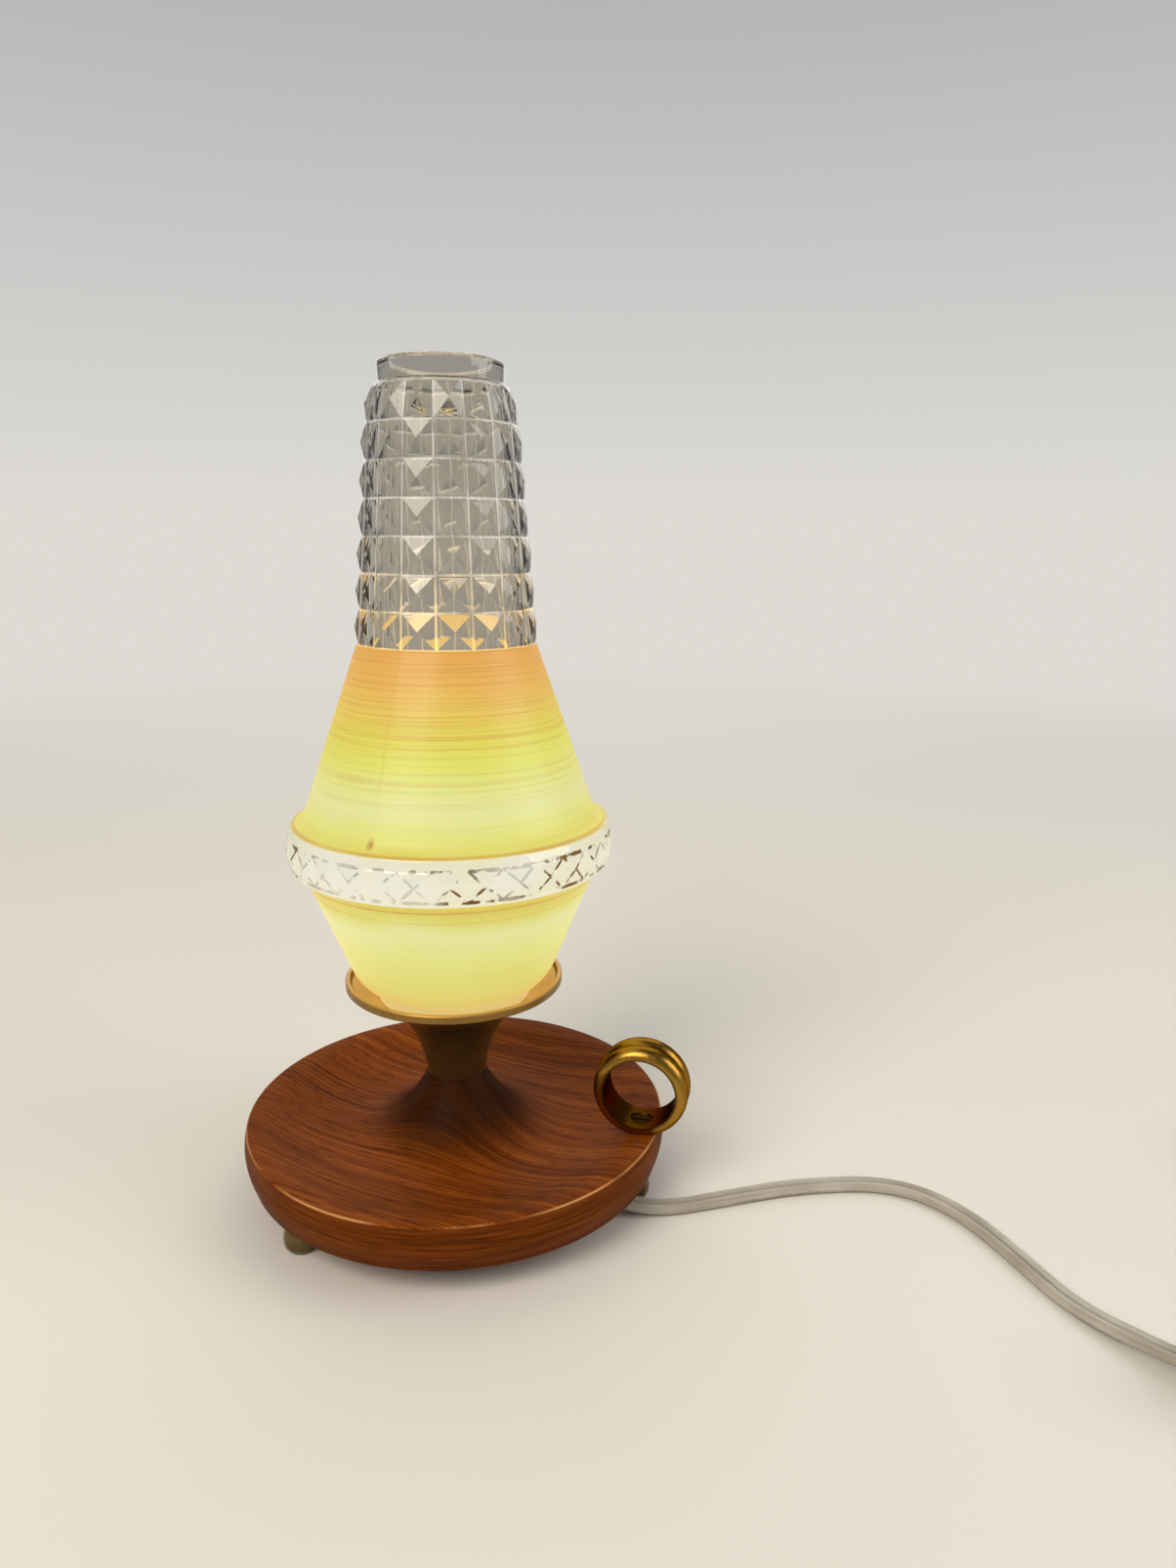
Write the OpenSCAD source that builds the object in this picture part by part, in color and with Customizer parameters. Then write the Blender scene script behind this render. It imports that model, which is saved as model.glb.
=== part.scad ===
// Small candlestick table lamp: a turned wooden base with a brass finger ring, a brass stem and
// dish, and a pressed-glass shade that lifts off over a small screw-cap bulb.
// Millimetres, +Z up, origin on the lamp's axis at the surface that it stands on.

/* [Base] */
// Diameter of the base at its top edge
base_d = 120; // [110:1:160]
// How far the side swells past the top edge
base_swell = 0.8; // [0:0.1:2]
// Diameter where the side meets the underside
base_under_d = 118; // [108:1:150]
// Thickness of the base at its rim
base_h = 13.5; // [12:0.5:20]
// Width of the flat rim round the dished top
base_rim_w = 5; // [3:0.5:10]
// Depth of the dished top below the rim
base_dish_depth = 5.5; // [3:0.5:6.5]
// Radius of the lowest ring of the dished top
base_dish_r = 31; // [28:1:36]
// Height of the central boss above the rim
boss_h = 11.8; // [8:0.2:18]
// Diameter of the boss where the stem stands on it
boss_d = 16.8; // [16:0.2:22]
// Diameter of the recess under the base
recess_d = 34; // [30:1:40]
// Depth of the recess under the base
recess_h = 8; // [7:0.5:10]

/* [Feet] */
// Height of the feet under the base
foot_h = 8; // [7:0.5:12]
// Diameter of a foot
foot_d = 9; // [7:0.5:9]
// Diameter of the flat that a foot stands on
foot_flat_d = 5.4; // [3:0.2:6]
// How far a foot's middle lies in from the edge of the underside
foot_inset = 5.5; // [5:0.5:10]
// Diameter of the spigot on top of a foot
foot_spigot_d = 4; // [3:0.5:5]
// Length of the spigot on top of a foot
foot_spigot_h = 4.5; // [3:0.5:8]

/* [Ring handle] */
// Diameter of the finger hole
ring_bore_d = 20.4; // [18:0.2:24]
// Radius of each of the two beads
bead_r = 3; // [2.4:0.1:3.4]
// Distance between the crests of the two beads
bead_pitch = 5.2; // [3:0.1:6]
// How far the ring's middle lies in from the base's top edge
ring_inset = 4.9; // [4:0.1:8]
// How deep the ring sits in the rim
ring_seat_depth = 1.2; // [0.4:0.1:2]
// Diameter of the ring's screw
ring_screw_d = 3; // [2.5:0.1:3.5]
// Length of the ring's screw
ring_screw_h = 9; // [8:0.5:14]

/* [Stem and dish] */
// Height of the brass stem
stem_h = 19.2; // [15:0.2:28]
// Diameter of the stem on the boss
stem_d1 = 17; // [16:0.2:20]
// Diameter of the stem under the dish
stem_d2 = 33; // [30:0.5:36]
// Wall of the brass stem
stem_wall = 1.4; // [1:0.1:1.8]
// Diameter of the dish over its lip
dish_d = 61.5; // [58:0.5:72]
// Depth of the dish from its lip to its floor
dish_depth = 9.6; // [7:0.2:14]
// Thickness of the dish
dish_t = 1; // [0.8:0.1:1.4]
// Height of the rolled lip
lip_h = 2.4; // [1.6:0.1:3.2]
// Height of the rib above the shade's seat
rib_h = 2.4; // [1:0.1:3]
// Width of the rib that centres the shade
rib_w = 1.6; // [1:0.1:2]

/* [Tube, nuts and washers] */
// Outside diameter of the threaded tube
tube_d = 10; // [10:0.1:10.4]
// Bore of the threaded tube
tube_bore_d = 7.6; // [7:0.1:8]
// Width across the flats of the nuts
nut_af = 14; // [13:0.5:16]
// Thickness of the nuts
nut_h = 3.2; // [2:0.2:4]
// Diameter of the washers
washer_d = 22; // [18:0.5:24]
// Thickness of the washers
washer_h = 1; // [0.6:0.1:1.4]

/* [Bulb holder] */
// Outside diameter of the holder
holder_d = 25; // [23:0.5:27]
// Wall of the holder's cap and sleeve
holder_wall = 2.2; // [1.8:0.1:2.6]
// Height of the holder's cap
holder_cap_h = 12; // [10:0.5:16]
// Height of the holder's sleeve
holder_sleeve_h = 17; // [15:0.5:20]
// Height of the insulating insert
insert_h = 6; // [5:0.5:8]
// Wall of the screw shell
shell_wall = 0.6; // [0.4:0.1:0.8]

/* [Bulb] */
// Diameter over the screw cap's thread
cap_d = 13.9; // [13.6:0.1:14]
// Height of the screw cap
cap_h = 16.5; // [14:0.5:20]
// Pitch of the screw cap's thread
thread_pitch = 2.82; // [2.4:0.02:3.2]
// Depth of the screw cap's thread
thread_depth = 0.5; // [0.3:0.1:0.7]
// Diameter of the glass bulb
bulb_d = 28; // [22:0.5:32]
// Height of the glass bulb above its cap
bulb_h = 42; // [34:1:52]
// Wall of the glass bulb
bulb_wall = 0.8; // [0.6:0.1:1]

/* [Shade] */
// Height of the glass shade
shade_h = 171.2; // [150:0.2:200]
// Outside diameter of the clear collar
collar_d = 43; // [42:0.5:44]
// Height of the clear collar
collar_h = 4.3; // [3.5:0.1:6]
// Wall of the clear collar
collar_wall = 2.4; // [2:0.1:2.6]
// Wall of the glass
glass_wall = 3; // [2.4:0.1:3.4]
// Height of the rounded shoulder over the collar
lower_round_h = 6.5; // [5:0.5:10]
// Diameter at the foot of the lower cone
lower_cone_d1 = 58; // [54:0.5:62]
// Diameter at the top of the lower cone
lower_cone_d2 = 78; // [70:0.5:82]
// Height of the lower cone
lower_cone_h = 24.5; // [18:0.5:30]
// Height of the flare from the lower cone to the belly
lower_flare_h = 5; // [3:0.5:8]
// Diameter of the belly at both edges of its clear band
band_edge_d = 86.8; // [82:0.2:92]
// Largest diameter of the belly
belly_d = 89.6; // [88:0.2:96]
// Height of the clear band round the belly
band_h = 11.8; // [8:0.2:16]
// Height of the flare from the belly to the upper cone
upper_flare_h = 3.9; // [3:0.1:8]
// Diameter at the foot of the upper cone
upper_cone_d1 = 78.4; // [72:0.2:82]
// Diameter at the top of the upper cone
upper_cone_d2 = 48; // [46:0.2:52]
// Height of the upper cone
upper_cone_h = 44.2; // [34:0.2:56]
// Rows of pressed pyramids round the neck
neck_rows = 7; // [4:1:10]
// Pyramids in one row
neck_columns = 16; // [12:1:20]
// Height of one pyramid above its edges
pyramid_h = 1.5; // [0.8:0.1:2]
// Diameter of the neck at its foot
neck_d1 = 47.2; // [45:0.2:47.6]
// Diameter of the neck below its top row
neck_d2 = 39; // [37:0.2:44]
// Diameter of the neck above its top row
shoulder_d = 34.8; // [33.6:0.2:36]
// Diameter of the plain rim
rim_d = 32; // [30:0.2:32.8]
// Height of the plain rim
rim_h = 6.3; // [4:0.1:9]

/* [Cord] */
// Width of the flat twin cord
cord_w = 5.5; // [5:0.1:6]
// Thickness of the flat twin cord
cord_t = 2.8; // [2.6:0.1:3]
// Thickness of the web between the two cores
cord_web_t = 1.4; // [1.2:0.1:2.2]
// Radius of the coil's outermost turn
coil_r = 34.5; // [34:0.5:40]
// Turns of the coil
coil_turns = 7.39; // [5.39:1:9.39]
// Gap between neighbouring turns
coil_gap = 0.5; // [0.5:0.1:1]
// Gap between the coil's two layers
layer_gap = 0.8; // [0.6:0.1:1.2]
// Width of the tie round the coil
tie_w = 4; // [3:0.5:8]
// Thickness of the tie round the coil
tie_t = 1; // [0.8:0.1:1.2]

/* [Cord switch] */
// Length of the switch
switch_l = 44; // [42:1:60]
// Width of the switch
switch_w = 20; // [18:0.5:26]
// Height of the lower shell
switch_base_h = 8; // [7:0.5:10]
// Height of the upper shell
switch_cover_h = 8; // [7:0.5:10]
// Wall of the switch's shells
switch_wall = 1.8; // [1.4:0.1:2.2]
// Length of the rocker
rocker_l = 16; // [12:0.5:18]
// Width of the rocker
rocker_w = 10; // [8:0.5:11]
// Diameter of the rocker's pin
rocker_pin_d = 2; // [1.6:0.1:2.4]
// How far the rocker tips, in degrees
rocker_tip = 8; // [4:1:10]

/* [Plug] */
// Width of the plug's body at its face
plug_w = 35; // [34:0.5:38]
// Thickness of the plug's body
plug_t = 14; // [13:0.5:16]
// Length of the plug's body
plug_l = 34; // [30:1:40]
// Length of the tapered sleeve behind the plug
sleeve_l = 22; // [20:1:40]
// Diameter of the tapered sleeve at its thin end
sleeve_d = 8; // [7.4:0.2:9]
// Diameter of a plug pin
pin_d = 4; // [3.8:0.1:4.2]
// Length of a plug pin in front of the face
pin_l = 19; // [17:0.5:20]
// Distance between the middles of the two pins
pin_pitch = 18.6; // [17.5:0.1:19]

/* [Fits] */
// Room round a piece that passes through a hole
hole_clearance = 0.2; // [0.1:0.05:0.4]
// Radial room of a turning fit
turning_clearance = 0.05; // [0.02:0.01:0.1]
// Gap between a loose piece and its seat
seat_gap = 0.3; // [0.2:0.05:0.5]
// Room between pieces that only lie near each other
near_gap = 0.4; // [0.3:0.1:0.8]

/* [Hidden] */
$fn = 64;

// Colours of the finishes
teak = "#7a3f1c";
brass = "#b08d3c";
steel = "#9a9a96";
bakelite = "#2a2421";
ceramic = "#e8e4da";
clear_glass = "#dfe8ea";
enamel = "#f3d98c";
white_cord = "#d9d6cc";

// Angles round the lamp's axis, measured from +X
ring_angle = -30;
foot_angles = [-152, -32, 88];
lead_angle = -43;

// Heights of the stack, from the surface up
base_z = foot_h;
rim_z = base_z + base_h;
boss_z = rim_z + boss_h;
dish_z = boss_z + stem_h;
floor_z = dish_z + dish_t;
lip_z = floor_z + dish_depth;
recess_z = base_z + recess_h;
dish_washer_z = floor_z;
dish_nut_z = dish_washer_z + washer_h;
holder_z = dish_nut_z + nut_h + seat_gap;
insert_z = holder_z + holder_cap_h - insert_h + 2;
insert_top = insert_z + insert_h;
sleeve_z = holder_z + holder_cap_h;
sleeve_top = sleeve_z + holder_sleeve_h;

// Bores that the threaded tube passes through
tube_r = tube_d / 2;
tube_hole_r = tube_r + hole_clearance;
tube_z0 = recess_z - washer_h - nut_h - 1;
tube_z1 = holder_z + 4;

// Bulb, from its contact up
contact_h = 1.6;
insulator_h = 2.6;
contact_plate_h = 2;
contact_r = 2.4;
bulb_z = insert_top + contact_plate_h + seat_gap;
cap_z = bulb_z + contact_h + insulator_h;
cap_top = cap_z + cap_h;
shell_r = cap_d / 2 + turning_clearance;
bulb_top = cap_top + bulb_h;

// Sloping side of the dish: an even slope with a slight hollow, outside and inside
lip_t = 1.2;
lip_foot_z = lip_z - lip_h;
dish_neck_r = dish_d / 2 - lip_t * 0.7;
dish_hollow = 0.8;
dish_inside_r = stem_d2 / 2 - dish_t * 0.2;
function dish_slope(r0, z0, r1) = curve(
    [r0, z0], [(r0 + r1) / 2, (z0 + lip_foot_z) / 2 + dish_hollow], [r1, z0 + lip_foot_z - dish_z], 10
);
dish_inside = dish_slope(dish_inside_r, floor_z, dish_neck_r - dish_t);
function dish_inside_z(r) = lookup(r, dish_inside);

// Shade, from its collar up; the foot of the collar stands on the dish's slope
collar_edge = 0.6;
seat_z = dish_inside_z(collar_d / 2 - collar_edge);
shade_z = seat_z + seat_gap * 1.3;
collar_top = shade_z + collar_h;
lower_cone_z = collar_top + lower_round_h;
lower_flare_z = lower_cone_z + lower_cone_h;
band_z = lower_flare_z + lower_flare_h;
band_top = band_z + band_h;
upper_cone_z = band_top + upper_flare_h;
neck_z = upper_cone_z + upper_cone_h;
shade_top = shade_z + shade_h;
rows_top = shade_top - rim_h;
row_h = (rows_top - neck_z) / neck_rows;
rib_r = collar_d / 2 - collar_wall - near_gap;
rib_top = seat_z + rib_h;

// Sections of the neck: the pyramid sleeve is fused to a plain wall that runs inside it
sleeve_depth = 1.2;
wall_step = 0.5;
column_turn = 6;

// Places that follow the base's size
foot_reach = base_under_d / 2 - foot_inset;
ring_reach = base_d / 2 - ring_inset;

// Ring handle
ring_r = ring_bore_d / 2 + 0.2 + bead_r;
ring_l = bead_pitch + 2 * bead_r;
ring_z = rim_z - ring_seat_depth + ring_r;
ring_bead_r0 = ring_r - bead_r;
ring_head_d = 2 * ring_screw_d;
ring_head_h = 1.8;

// Cord: half section of one core, and the two sections that are swept
core_r = cord_t / 2;
core_x = cord_w / 2 - core_r;
cord_lift = 0.1;
core_angles = [-90, -45, 0, 45, 90];
twin_section = concat(
    [for (a = core_angles) [core_x + core_r * cos(a), core_r * sin(a)]],
    [[0, cord_web_t / 2]],
    [for (a = core_angles) [-core_x - core_r * cos(a), -core_r * sin(a)]],
    [[0, -cord_web_t / 2]]
);
coil_section = [
    [cord_w / 2, 0], [core_x, core_r], [-core_x, core_r],
    [-cord_w / 2, 0], [-core_x, -core_r], [core_x, -core_r]
];

// Clip under the base, on the way of the lead
clip_reach = 27;
clip_w = 8;
clip_t = 1.2;
clip_screw_d = 2.6;
clip_screw_h = 7;
clip_screw_x = cord_w / 2 + clip_t + 3.4;
lead_z = base_z - cord_t / 2 - cord_lift;
joint_reach = clip_reach + clip_w / 2 + 1;
function on_lead(reach, z) = [reach * cos(lead_angle), reach * sin(lead_angle), z];

// Route inside the lamp, from the joint under the base round a bend and up the tube to the holder
lead_bend_r = 8;
lead_room = 3;
inner_route = concat(
    [on_lead(joint_reach, lead_z), on_lead(clip_reach, lead_z), on_lead(2 * lead_bend_r, lead_z)],
    [for (a = [0 : 22.5 : 90]) on_lead(lead_bend_r * (1 - sin(a)), lead_z + lead_bend_r * (1 - cos(a)))],
    [[0, 0, boss_z], [0, 0, dish_z], [0, 0, insert_z - lead_room]]
);

// Route on the surface, from the joint under the base to the switch
surface_z = cord_t / 2 + cord_lift;
switch_at = [160, -150];
switch_angle = -45;
switch_cord_z = 5;
switch_dir = [cos(switch_angle), sin(switch_angle)];
cord_grip = 4;
function on_switch(x, z) = [switch_at.x + x * switch_dir.x, switch_at.y + x * switch_dir.y, z];
lead_route = concat(
    [on_lead(joint_reach, lead_z), on_lead(joint_reach + 4, lead_z)],
    [
        [33, -30.5, 5.2], [40, -35, 3.4], [47, -37.8, 2.2], [55, -39, surface_z],
        [65, -39.4, surface_z], [77, -39.6, surface_z], [89, -40.2, surface_z],
        [101, -42.2, surface_z], [110, -44.6, surface_z], [117, -48, surface_z],
        [123, -53.2, surface_z], [127, -59.8, surface_z], [129.6, -67.4, surface_z],
        [131, -76, surface_z], [131.6, -85, surface_z], [132, -94, surface_z],
        [132.8, -103, surface_z], [134.6, -112, 2.2], [137.4, -120.5, 3.2]
    ],
    [on_switch(-switch_l / 2 - 6, switch_cord_z), on_switch(-switch_l / 2 + cord_grip, switch_cord_z)]
);

// Coil: two layers that spiral in and out again, on edge
coil_pitch = cord_t + coil_gap;
coil_z = tie_t + near_gap + cord_w / 2;
layer_h = cord_w + layer_gap;
coil_run = 48;
coil_rings = 24;
coil_start = [on_switch(coil_run, 0).x, on_switch(coil_run, 0).y];
coil_angle = switch_angle - 90;
coil_at = coil_start - coil_r * [cos(coil_angle), sin(coil_angle)];
coil_end = coil_angle + 360 * coil_turns;
coil_dir = [-sin(coil_end), cos(coil_end)];
tail_l = 30;
plug_z = plug_t / 2;

// Parts of a turn from the reversal, the radius there and the height there
function from_turn(t) = abs(t - coil_turns / 2);
function coil_radius(t) = coil_r - coil_pitch * (coil_turns / 2 - from_turn(t));
function ease(x) = let (c = min(1, max(0, x))) c * c * (3 - 2 * c);
function coil_height(t) = coil_z + layer_h * ease((t - coil_turns / 2 + 0.25) * 2);
function on_coil(t) = let (a = coil_angle + 360 * t)
    [coil_at.x + coil_radius(t) * cos(a), coil_at.y + coil_radius(t) * sin(a), coil_height(t)];
function on_tail(s, z) = [
    coil_at.x + coil_r * cos(coil_end) + s * coil_dir.x,
    coil_at.y + coil_r * sin(coil_end) + s * coil_dir.y, z
];
coil_steps = round(coil_turns * coil_rings);
coil_wound = [for (i = [0 : coil_steps]) on_coil(i * coil_turns / coil_steps)];
top_z = coil_z + layer_h;
coil_route = concat(
    [
        on_switch(switch_l / 2 - cord_grip, switch_cord_z), on_switch(switch_l / 2 + 2, switch_cord_z),
        on_switch(switch_l / 2 + 8, (switch_cord_z + coil_z) / 2), on_switch(coil_run - 5, coil_z)
    ],
    coil_wound,
    [
        on_tail(8, top_z - 0.2), on_tail(16, (top_z + plug_z) / 2), on_tail(tail_l - 6, plug_z),
        on_tail(tail_l, plug_z)
    ]
);
// The cord leaves the switch flat and turns on edge before the first turn
coil_roll = [for (i = [0 : len(coil_route) - 1]) i < 2 ? 0 : i == 2 ? 45 : 90];

// Least gap of the coil to itself: flat distance between turns less the thickness, or the layers' gap
function side_gap(i, j) = norm([coil_wound[i].x - coil_wound[j].x, coil_wound[i].y - coil_wound[j].y]);
function rise(i, j) = max(0, abs(coil_wound[i].z - coil_wound[j].z) - 2 * core_x);
function turn_gap(i, j) = sqrt(side_gap(i, j) ^ 2 + rise(i, j) ^ 2) - cord_t;
coil_least_gap = min([
    for (i = [0 : coil_steps]) for (j = [i + coil_rings / 2 : coil_steps]) turn_gap(i, j)
]);
function length_of(p) = len(p) < 2 ? 0 : sum_steps(p, len(p) - 1);
function sum_steps(p, i) = i == 0 ? 0 : norm(p[i] - p[i - 1]) + sum_steps(p, i - 1);
echo(coil_least_gap = coil_least_gap, lead = length_of(lead_route), coil = length_of(coil_route));
echo(inner = length_of(inner_route), lamp_height = shade_top);

// A point on a quadratic curve, and the whole curve
function curve_at(a, b, c, t) = (1 - t) * (1 - t) * a + 2 * t * (1 - t) * b + t * t * c;
function curve(a, b, c, n = 8) = [for (i = [0 : n]) curve_at(a, b, c, i / n)];
function shifted(points, dx, dy) = [for (p = points) p + [dx, dy]];
function backwards(points) = [for (i = [len(points) - 1 : -1 : 0]) points[i]];

// Sweep of a section along a route; side_of keeps the wide way level, or fixed where it is given
function unit(v) = v / norm(v);
function ahead(p, i) = unit(p[min(i + 1, len(p) - 1)] - p[max(i - 1, 0)]);
function level_side(t) = unit(cross(t, [0, 0, 1]));
function swept_ring(p, t, side, roll, section) = let (n = cross(side, t))
    [for (q = section)
        p + side * (q.x * cos(roll) - q.y * sin(roll)) + n * (q.x * sin(roll) + q.y * cos(roll))];

module sweep(route, section, roll = [], fixed_side = undef) {
    rings = len(route);
    sides = len(section);
    points = concat(
        [for (i = [0 : rings - 1])
            let (t = ahead(route, i), side = is_undef(fixed_side) ? level_side(t) : fixed_side)
            each swept_ring(route[i], t, side, len(roll) > 0 ? roll[i] : 0, section)],
        [route[0], route[rings - 1]]
    );
    first = rings * sides;
    wall = [for (i = [0 : rings - 2]) for (j = [0 : sides - 1])
        let (a = i * sides + j, b = i * sides + (j + 1) % sides)
        each [[a, a + sides, b], [b, a + sides, b + sides]]];
    caps = [for (j = [0 : sides - 1])
        let (k = (j + 1) % sides, last = (rings - 1) * sides)
        each [[j, k, first], [last + k, last + j, first + 1]]];
    polyhedron(points = points, faces = concat(wall, caps), convexity = 12);
}

module at_angle(angle, reach = 0, z = 0) {
    rotate([0, 0, angle])
        translate([reach, 0, z])
            children();
}

module hex_nut(z) {
    translate([0, 0, z])
        difference() {
            cylinder(d = nut_af / cos(30), h = nut_h, $fn = 6);
            translate([0, 0, -1])
                cylinder(r = tube_hole_r, h = nut_h + 2);
        }
}

module washer(z) {
    translate([0, 0, z])
        difference() {
            cylinder(d = washer_d, h = washer_h);
            translate([0, 0, -1])
                cylinder(r = tube_hole_r, h = washer_h + 2);
        }
}

// A flat plate with round corners, middle at the origin
module round_plate(l, w, r, h) {
    linear_extrude(h)
        union() {
            square([l - 2 * r, w], center = true);
            square([l, w - 2 * r], center = true);
            for (x = [-1, 1])
                for (y = [-1, 1])
                    translate([x * (l / 2 - r), y * (w / 2 - r)])
                        circle(r);
        }
}

module place_ring() {
    at_angle(ring_angle, ring_reach, ring_z)
        rotate([90, 0, 0])
            children();
}

module ring_screw_way(clearance) {
    shank_r = ring_screw_d / 2 + clearance;
    head_r = ring_head_d / 2 + clearance;
    head_z = ring_z - ring_bead_r0;
    at_angle(ring_angle, ring_reach)
        union() {
            translate([0, 0, head_z - ring_screw_h])
                cylinder(r = shank_r, h = ring_screw_h);
            translate([0, 0, head_z - ring_head_h])
                cylinder(r1 = shank_r, r2 = head_r, h = ring_head_h);
        }
}

module wood_base() {
    edge = 0.6;
    under_round = 2;
    r = base_d / 2;
    under_r = base_under_d / 2;
    side = curve(
        [under_r, base_z + under_round],
        [r + 2 * base_swell, base_z + base_h * 0.55],
        [r, rim_z - edge]
    );
    top = concat(
        curve([r, rim_z - edge], [r, rim_z], [r - edge, rim_z], 4),
        curve(
            [r - base_rim_w, rim_z],
            [(r - base_rim_w + base_dish_r) / 2, rim_z - base_dish_depth],
            [base_dish_r, rim_z - base_dish_depth],
            12
        ),
        curve(
            [base_dish_r, rim_z - base_dish_depth],
            [base_dish_r * 0.53, rim_z - base_dish_depth],
            [boss_d / 2, boss_z],
            14
        )
    );
    under = curve(
        [under_r - under_round, base_z], [under_r, base_z], [under_r, base_z + under_round], 5
    );
    color(teak)
        difference() {
            rotate_extrude($fn = 128)
                polygon(concat(
                    [[tube_hole_r, recess_z], [recess_d / 2, recess_z], [recess_d / 2, base_z]],
                    under, side, top, [[tube_hole_r, boss_z]]
                ));
            for (a = foot_angles)
                at_angle(a, foot_reach, base_z - 1)
                    cylinder(d = foot_spigot_d + 2 * hole_clearance, h = foot_spigot_h + 1 + near_gap);
            place_ring()
                cylinder(r = ring_r + hole_clearance, h = ring_l + 2 * near_gap, center = true);
            ring_screw_way(hole_clearance / 2);
            clip_screw_ways(hole_clearance / 2);
        }
}

module feet() {
    r = foot_d / 2;
    flat_r = foot_flat_d / 2;
    color(brass)
        for (a = foot_angles)
            at_angle(a, foot_reach)
                union() {
                    rotate_extrude()
                        polygon(concat(
                            [[0, 0]],
                            curve([flat_r, 0], [r, foot_h * 0.12], [r, foot_h * 0.45]),
                            curve([r, foot_h * 0.45], [r, foot_h * 0.85], [flat_r, foot_h]),
                            [[0, foot_h]]
                        ));
                    translate([0, 0, foot_h - 1])
                        cylinder(d = foot_spigot_d, h = foot_spigot_h + 1);
                }
}

module ring_handle() {
    color(brass)
        difference() {
            place_ring()
                rotate_extrude($fn = 96)
                    difference() {
                        union()
                            for (side = [-1, 1])
                                translate([ring_bead_r0, side * bead_pitch / 2])
                                    circle(bead_r);
                        translate([0, -ring_l])
                            square([ring_bore_d / 2, 2 * ring_l]);
                    }
            ring_screw_way(hole_clearance);
            // The countersink is open to the bore, so that the screw can be driven
            at_angle(ring_angle, ring_reach, ring_z - ring_bead_r0)
                cylinder(r = ring_head_d / 2 + hole_clearance, h = ring_bead_r0);
        }
}

module ring_screw() {
    color(brass)
        difference() {
            ring_screw_way(0);
            at_angle(ring_angle, ring_reach, ring_z - ring_bead_r0)
                cube([ring_head_d * 1.2, 0.8, 1.4], center = true);
        }
}

module threaded_tube() {
    color(steel)
        translate([0, 0, tube_z0])
            difference() {
                cylinder(r = tube_r, h = tube_z1 - tube_z0);
                translate([0, 0, -1])
                    cylinder(d = tube_bore_d, h = tube_z1 - tube_z0 + 2);
            }
}

module base_washer() {
    color(steel) washer(recess_z - washer_h);
}

module base_nut() {
    color(steel) hex_nut(recess_z - washer_h - nut_h);
}

module clip_screw_ways(clearance) {
    at_angle(lead_angle, clip_reach)
        for (side = [-1, 1])
            translate([0, side * clip_screw_x, base_z - clip_t])
                cylinder(d = clip_screw_d + 2 * clearance, h = clip_screw_h);
}

module cord_clip() {
    room = cord_lift / 2;
    inner_w = cord_w + 2 * hole_clearance;
    drop = cord_t + 2 * cord_lift;
    ear = clip_screw_x + clip_screw_d / 2 + 1.8;
    color(steel)
        difference() {
            at_angle(lead_angle, clip_reach)
                union() {
                    translate([-clip_w / 2, -inner_w / 2 - clip_t, base_z - drop - clip_t])
                        cube([clip_w, inner_w + 2 * clip_t, clip_t]);
                    for (side = [-1, 1])
                        translate([
                            -clip_w / 2, side * (inner_w + clip_t) / 2 - clip_t / 2, base_z - drop - clip_t
                        ])
                            cube([clip_w, clip_t, drop + clip_t - room]);
                    for (side = [-1, 1])
                        translate([-clip_w / 2, side > 0 ? inner_w / 2 : -ear, base_z - clip_t - room])
                            cube([clip_w, ear - inner_w / 2, clip_t]);
                }
            translate([0, 0, -clip_t])
                clip_screw_ways(hole_clearance);
        }
}

module clip_screws() {
    head_h = 1.4;
    head_d = 2 * clip_screw_d;
    color(steel)
        at_angle(lead_angle, clip_reach)
            for (side = [-1, 1])
                translate([0, side * clip_screw_x, base_z - clip_t - cord_lift / 2])
                    union() {
                        cylinder(d = clip_screw_d, h = clip_screw_h - near_gap);
                        translate([0, 0, -head_h])
                            difference() {
                                cylinder(d = head_d, h = head_h);
                                cube([head_d * 1.2, 0.7, 1.2], center = true);
                            }
                    }
}

module stem_trumpet() {
    outer = curve(
        [stem_d1 / 2, boss_z],
        [stem_d1 / 2 + (stem_d2 - stem_d1) * 0.106, boss_z + stem_h * 0.66],
        [stem_d2 / 2, dish_z],
        14
    );
    inner = shifted(outer, -stem_wall, 0);
    color(brass)
        difference() {
            rotate_extrude($fn = 96)
                polygon(concat(outer, backwards(inner)));
            translate([0, 0, boss_z - 1])
                cylinder(r = tube_hole_r, h = stem_h + 2);
        }
}

module shade_dish() {
    lip_r = dish_d / 2;
    lip = [
        [lip_r - 0.3, lip_foot_z], [lip_r, lip_foot_z + 0.3], [lip_r, lip_z - 0.3],
        [lip_r - 0.3, lip_z], [lip_r - lip_t, lip_z]
    ];
    rib_foot_r = rib_r - rib_w;
    color(brass)
        rotate_extrude($fn = 128)
            polygon(concat(
                [[tube_hole_r, dish_z]],
                dish_slope(stem_d2 / 2, dish_z, dish_neck_r),
                lip,
                [for (p = backwards(dish_inside)) if (p.x > rib_r) p],
                [
                    [rib_r, dish_inside_z(rib_r)], [rib_r, rib_top], [rib_foot_r, rib_top],
                    [rib_foot_r, dish_inside_z(rib_foot_r)]
                ],
                [dish_inside[0], [tube_hole_r, floor_z]]
            ));
}

module dish_washer() {
    color(brass) washer(dish_washer_z);
}

module dish_nut() {
    color(brass) hex_nut(dish_nut_z);
}

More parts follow.
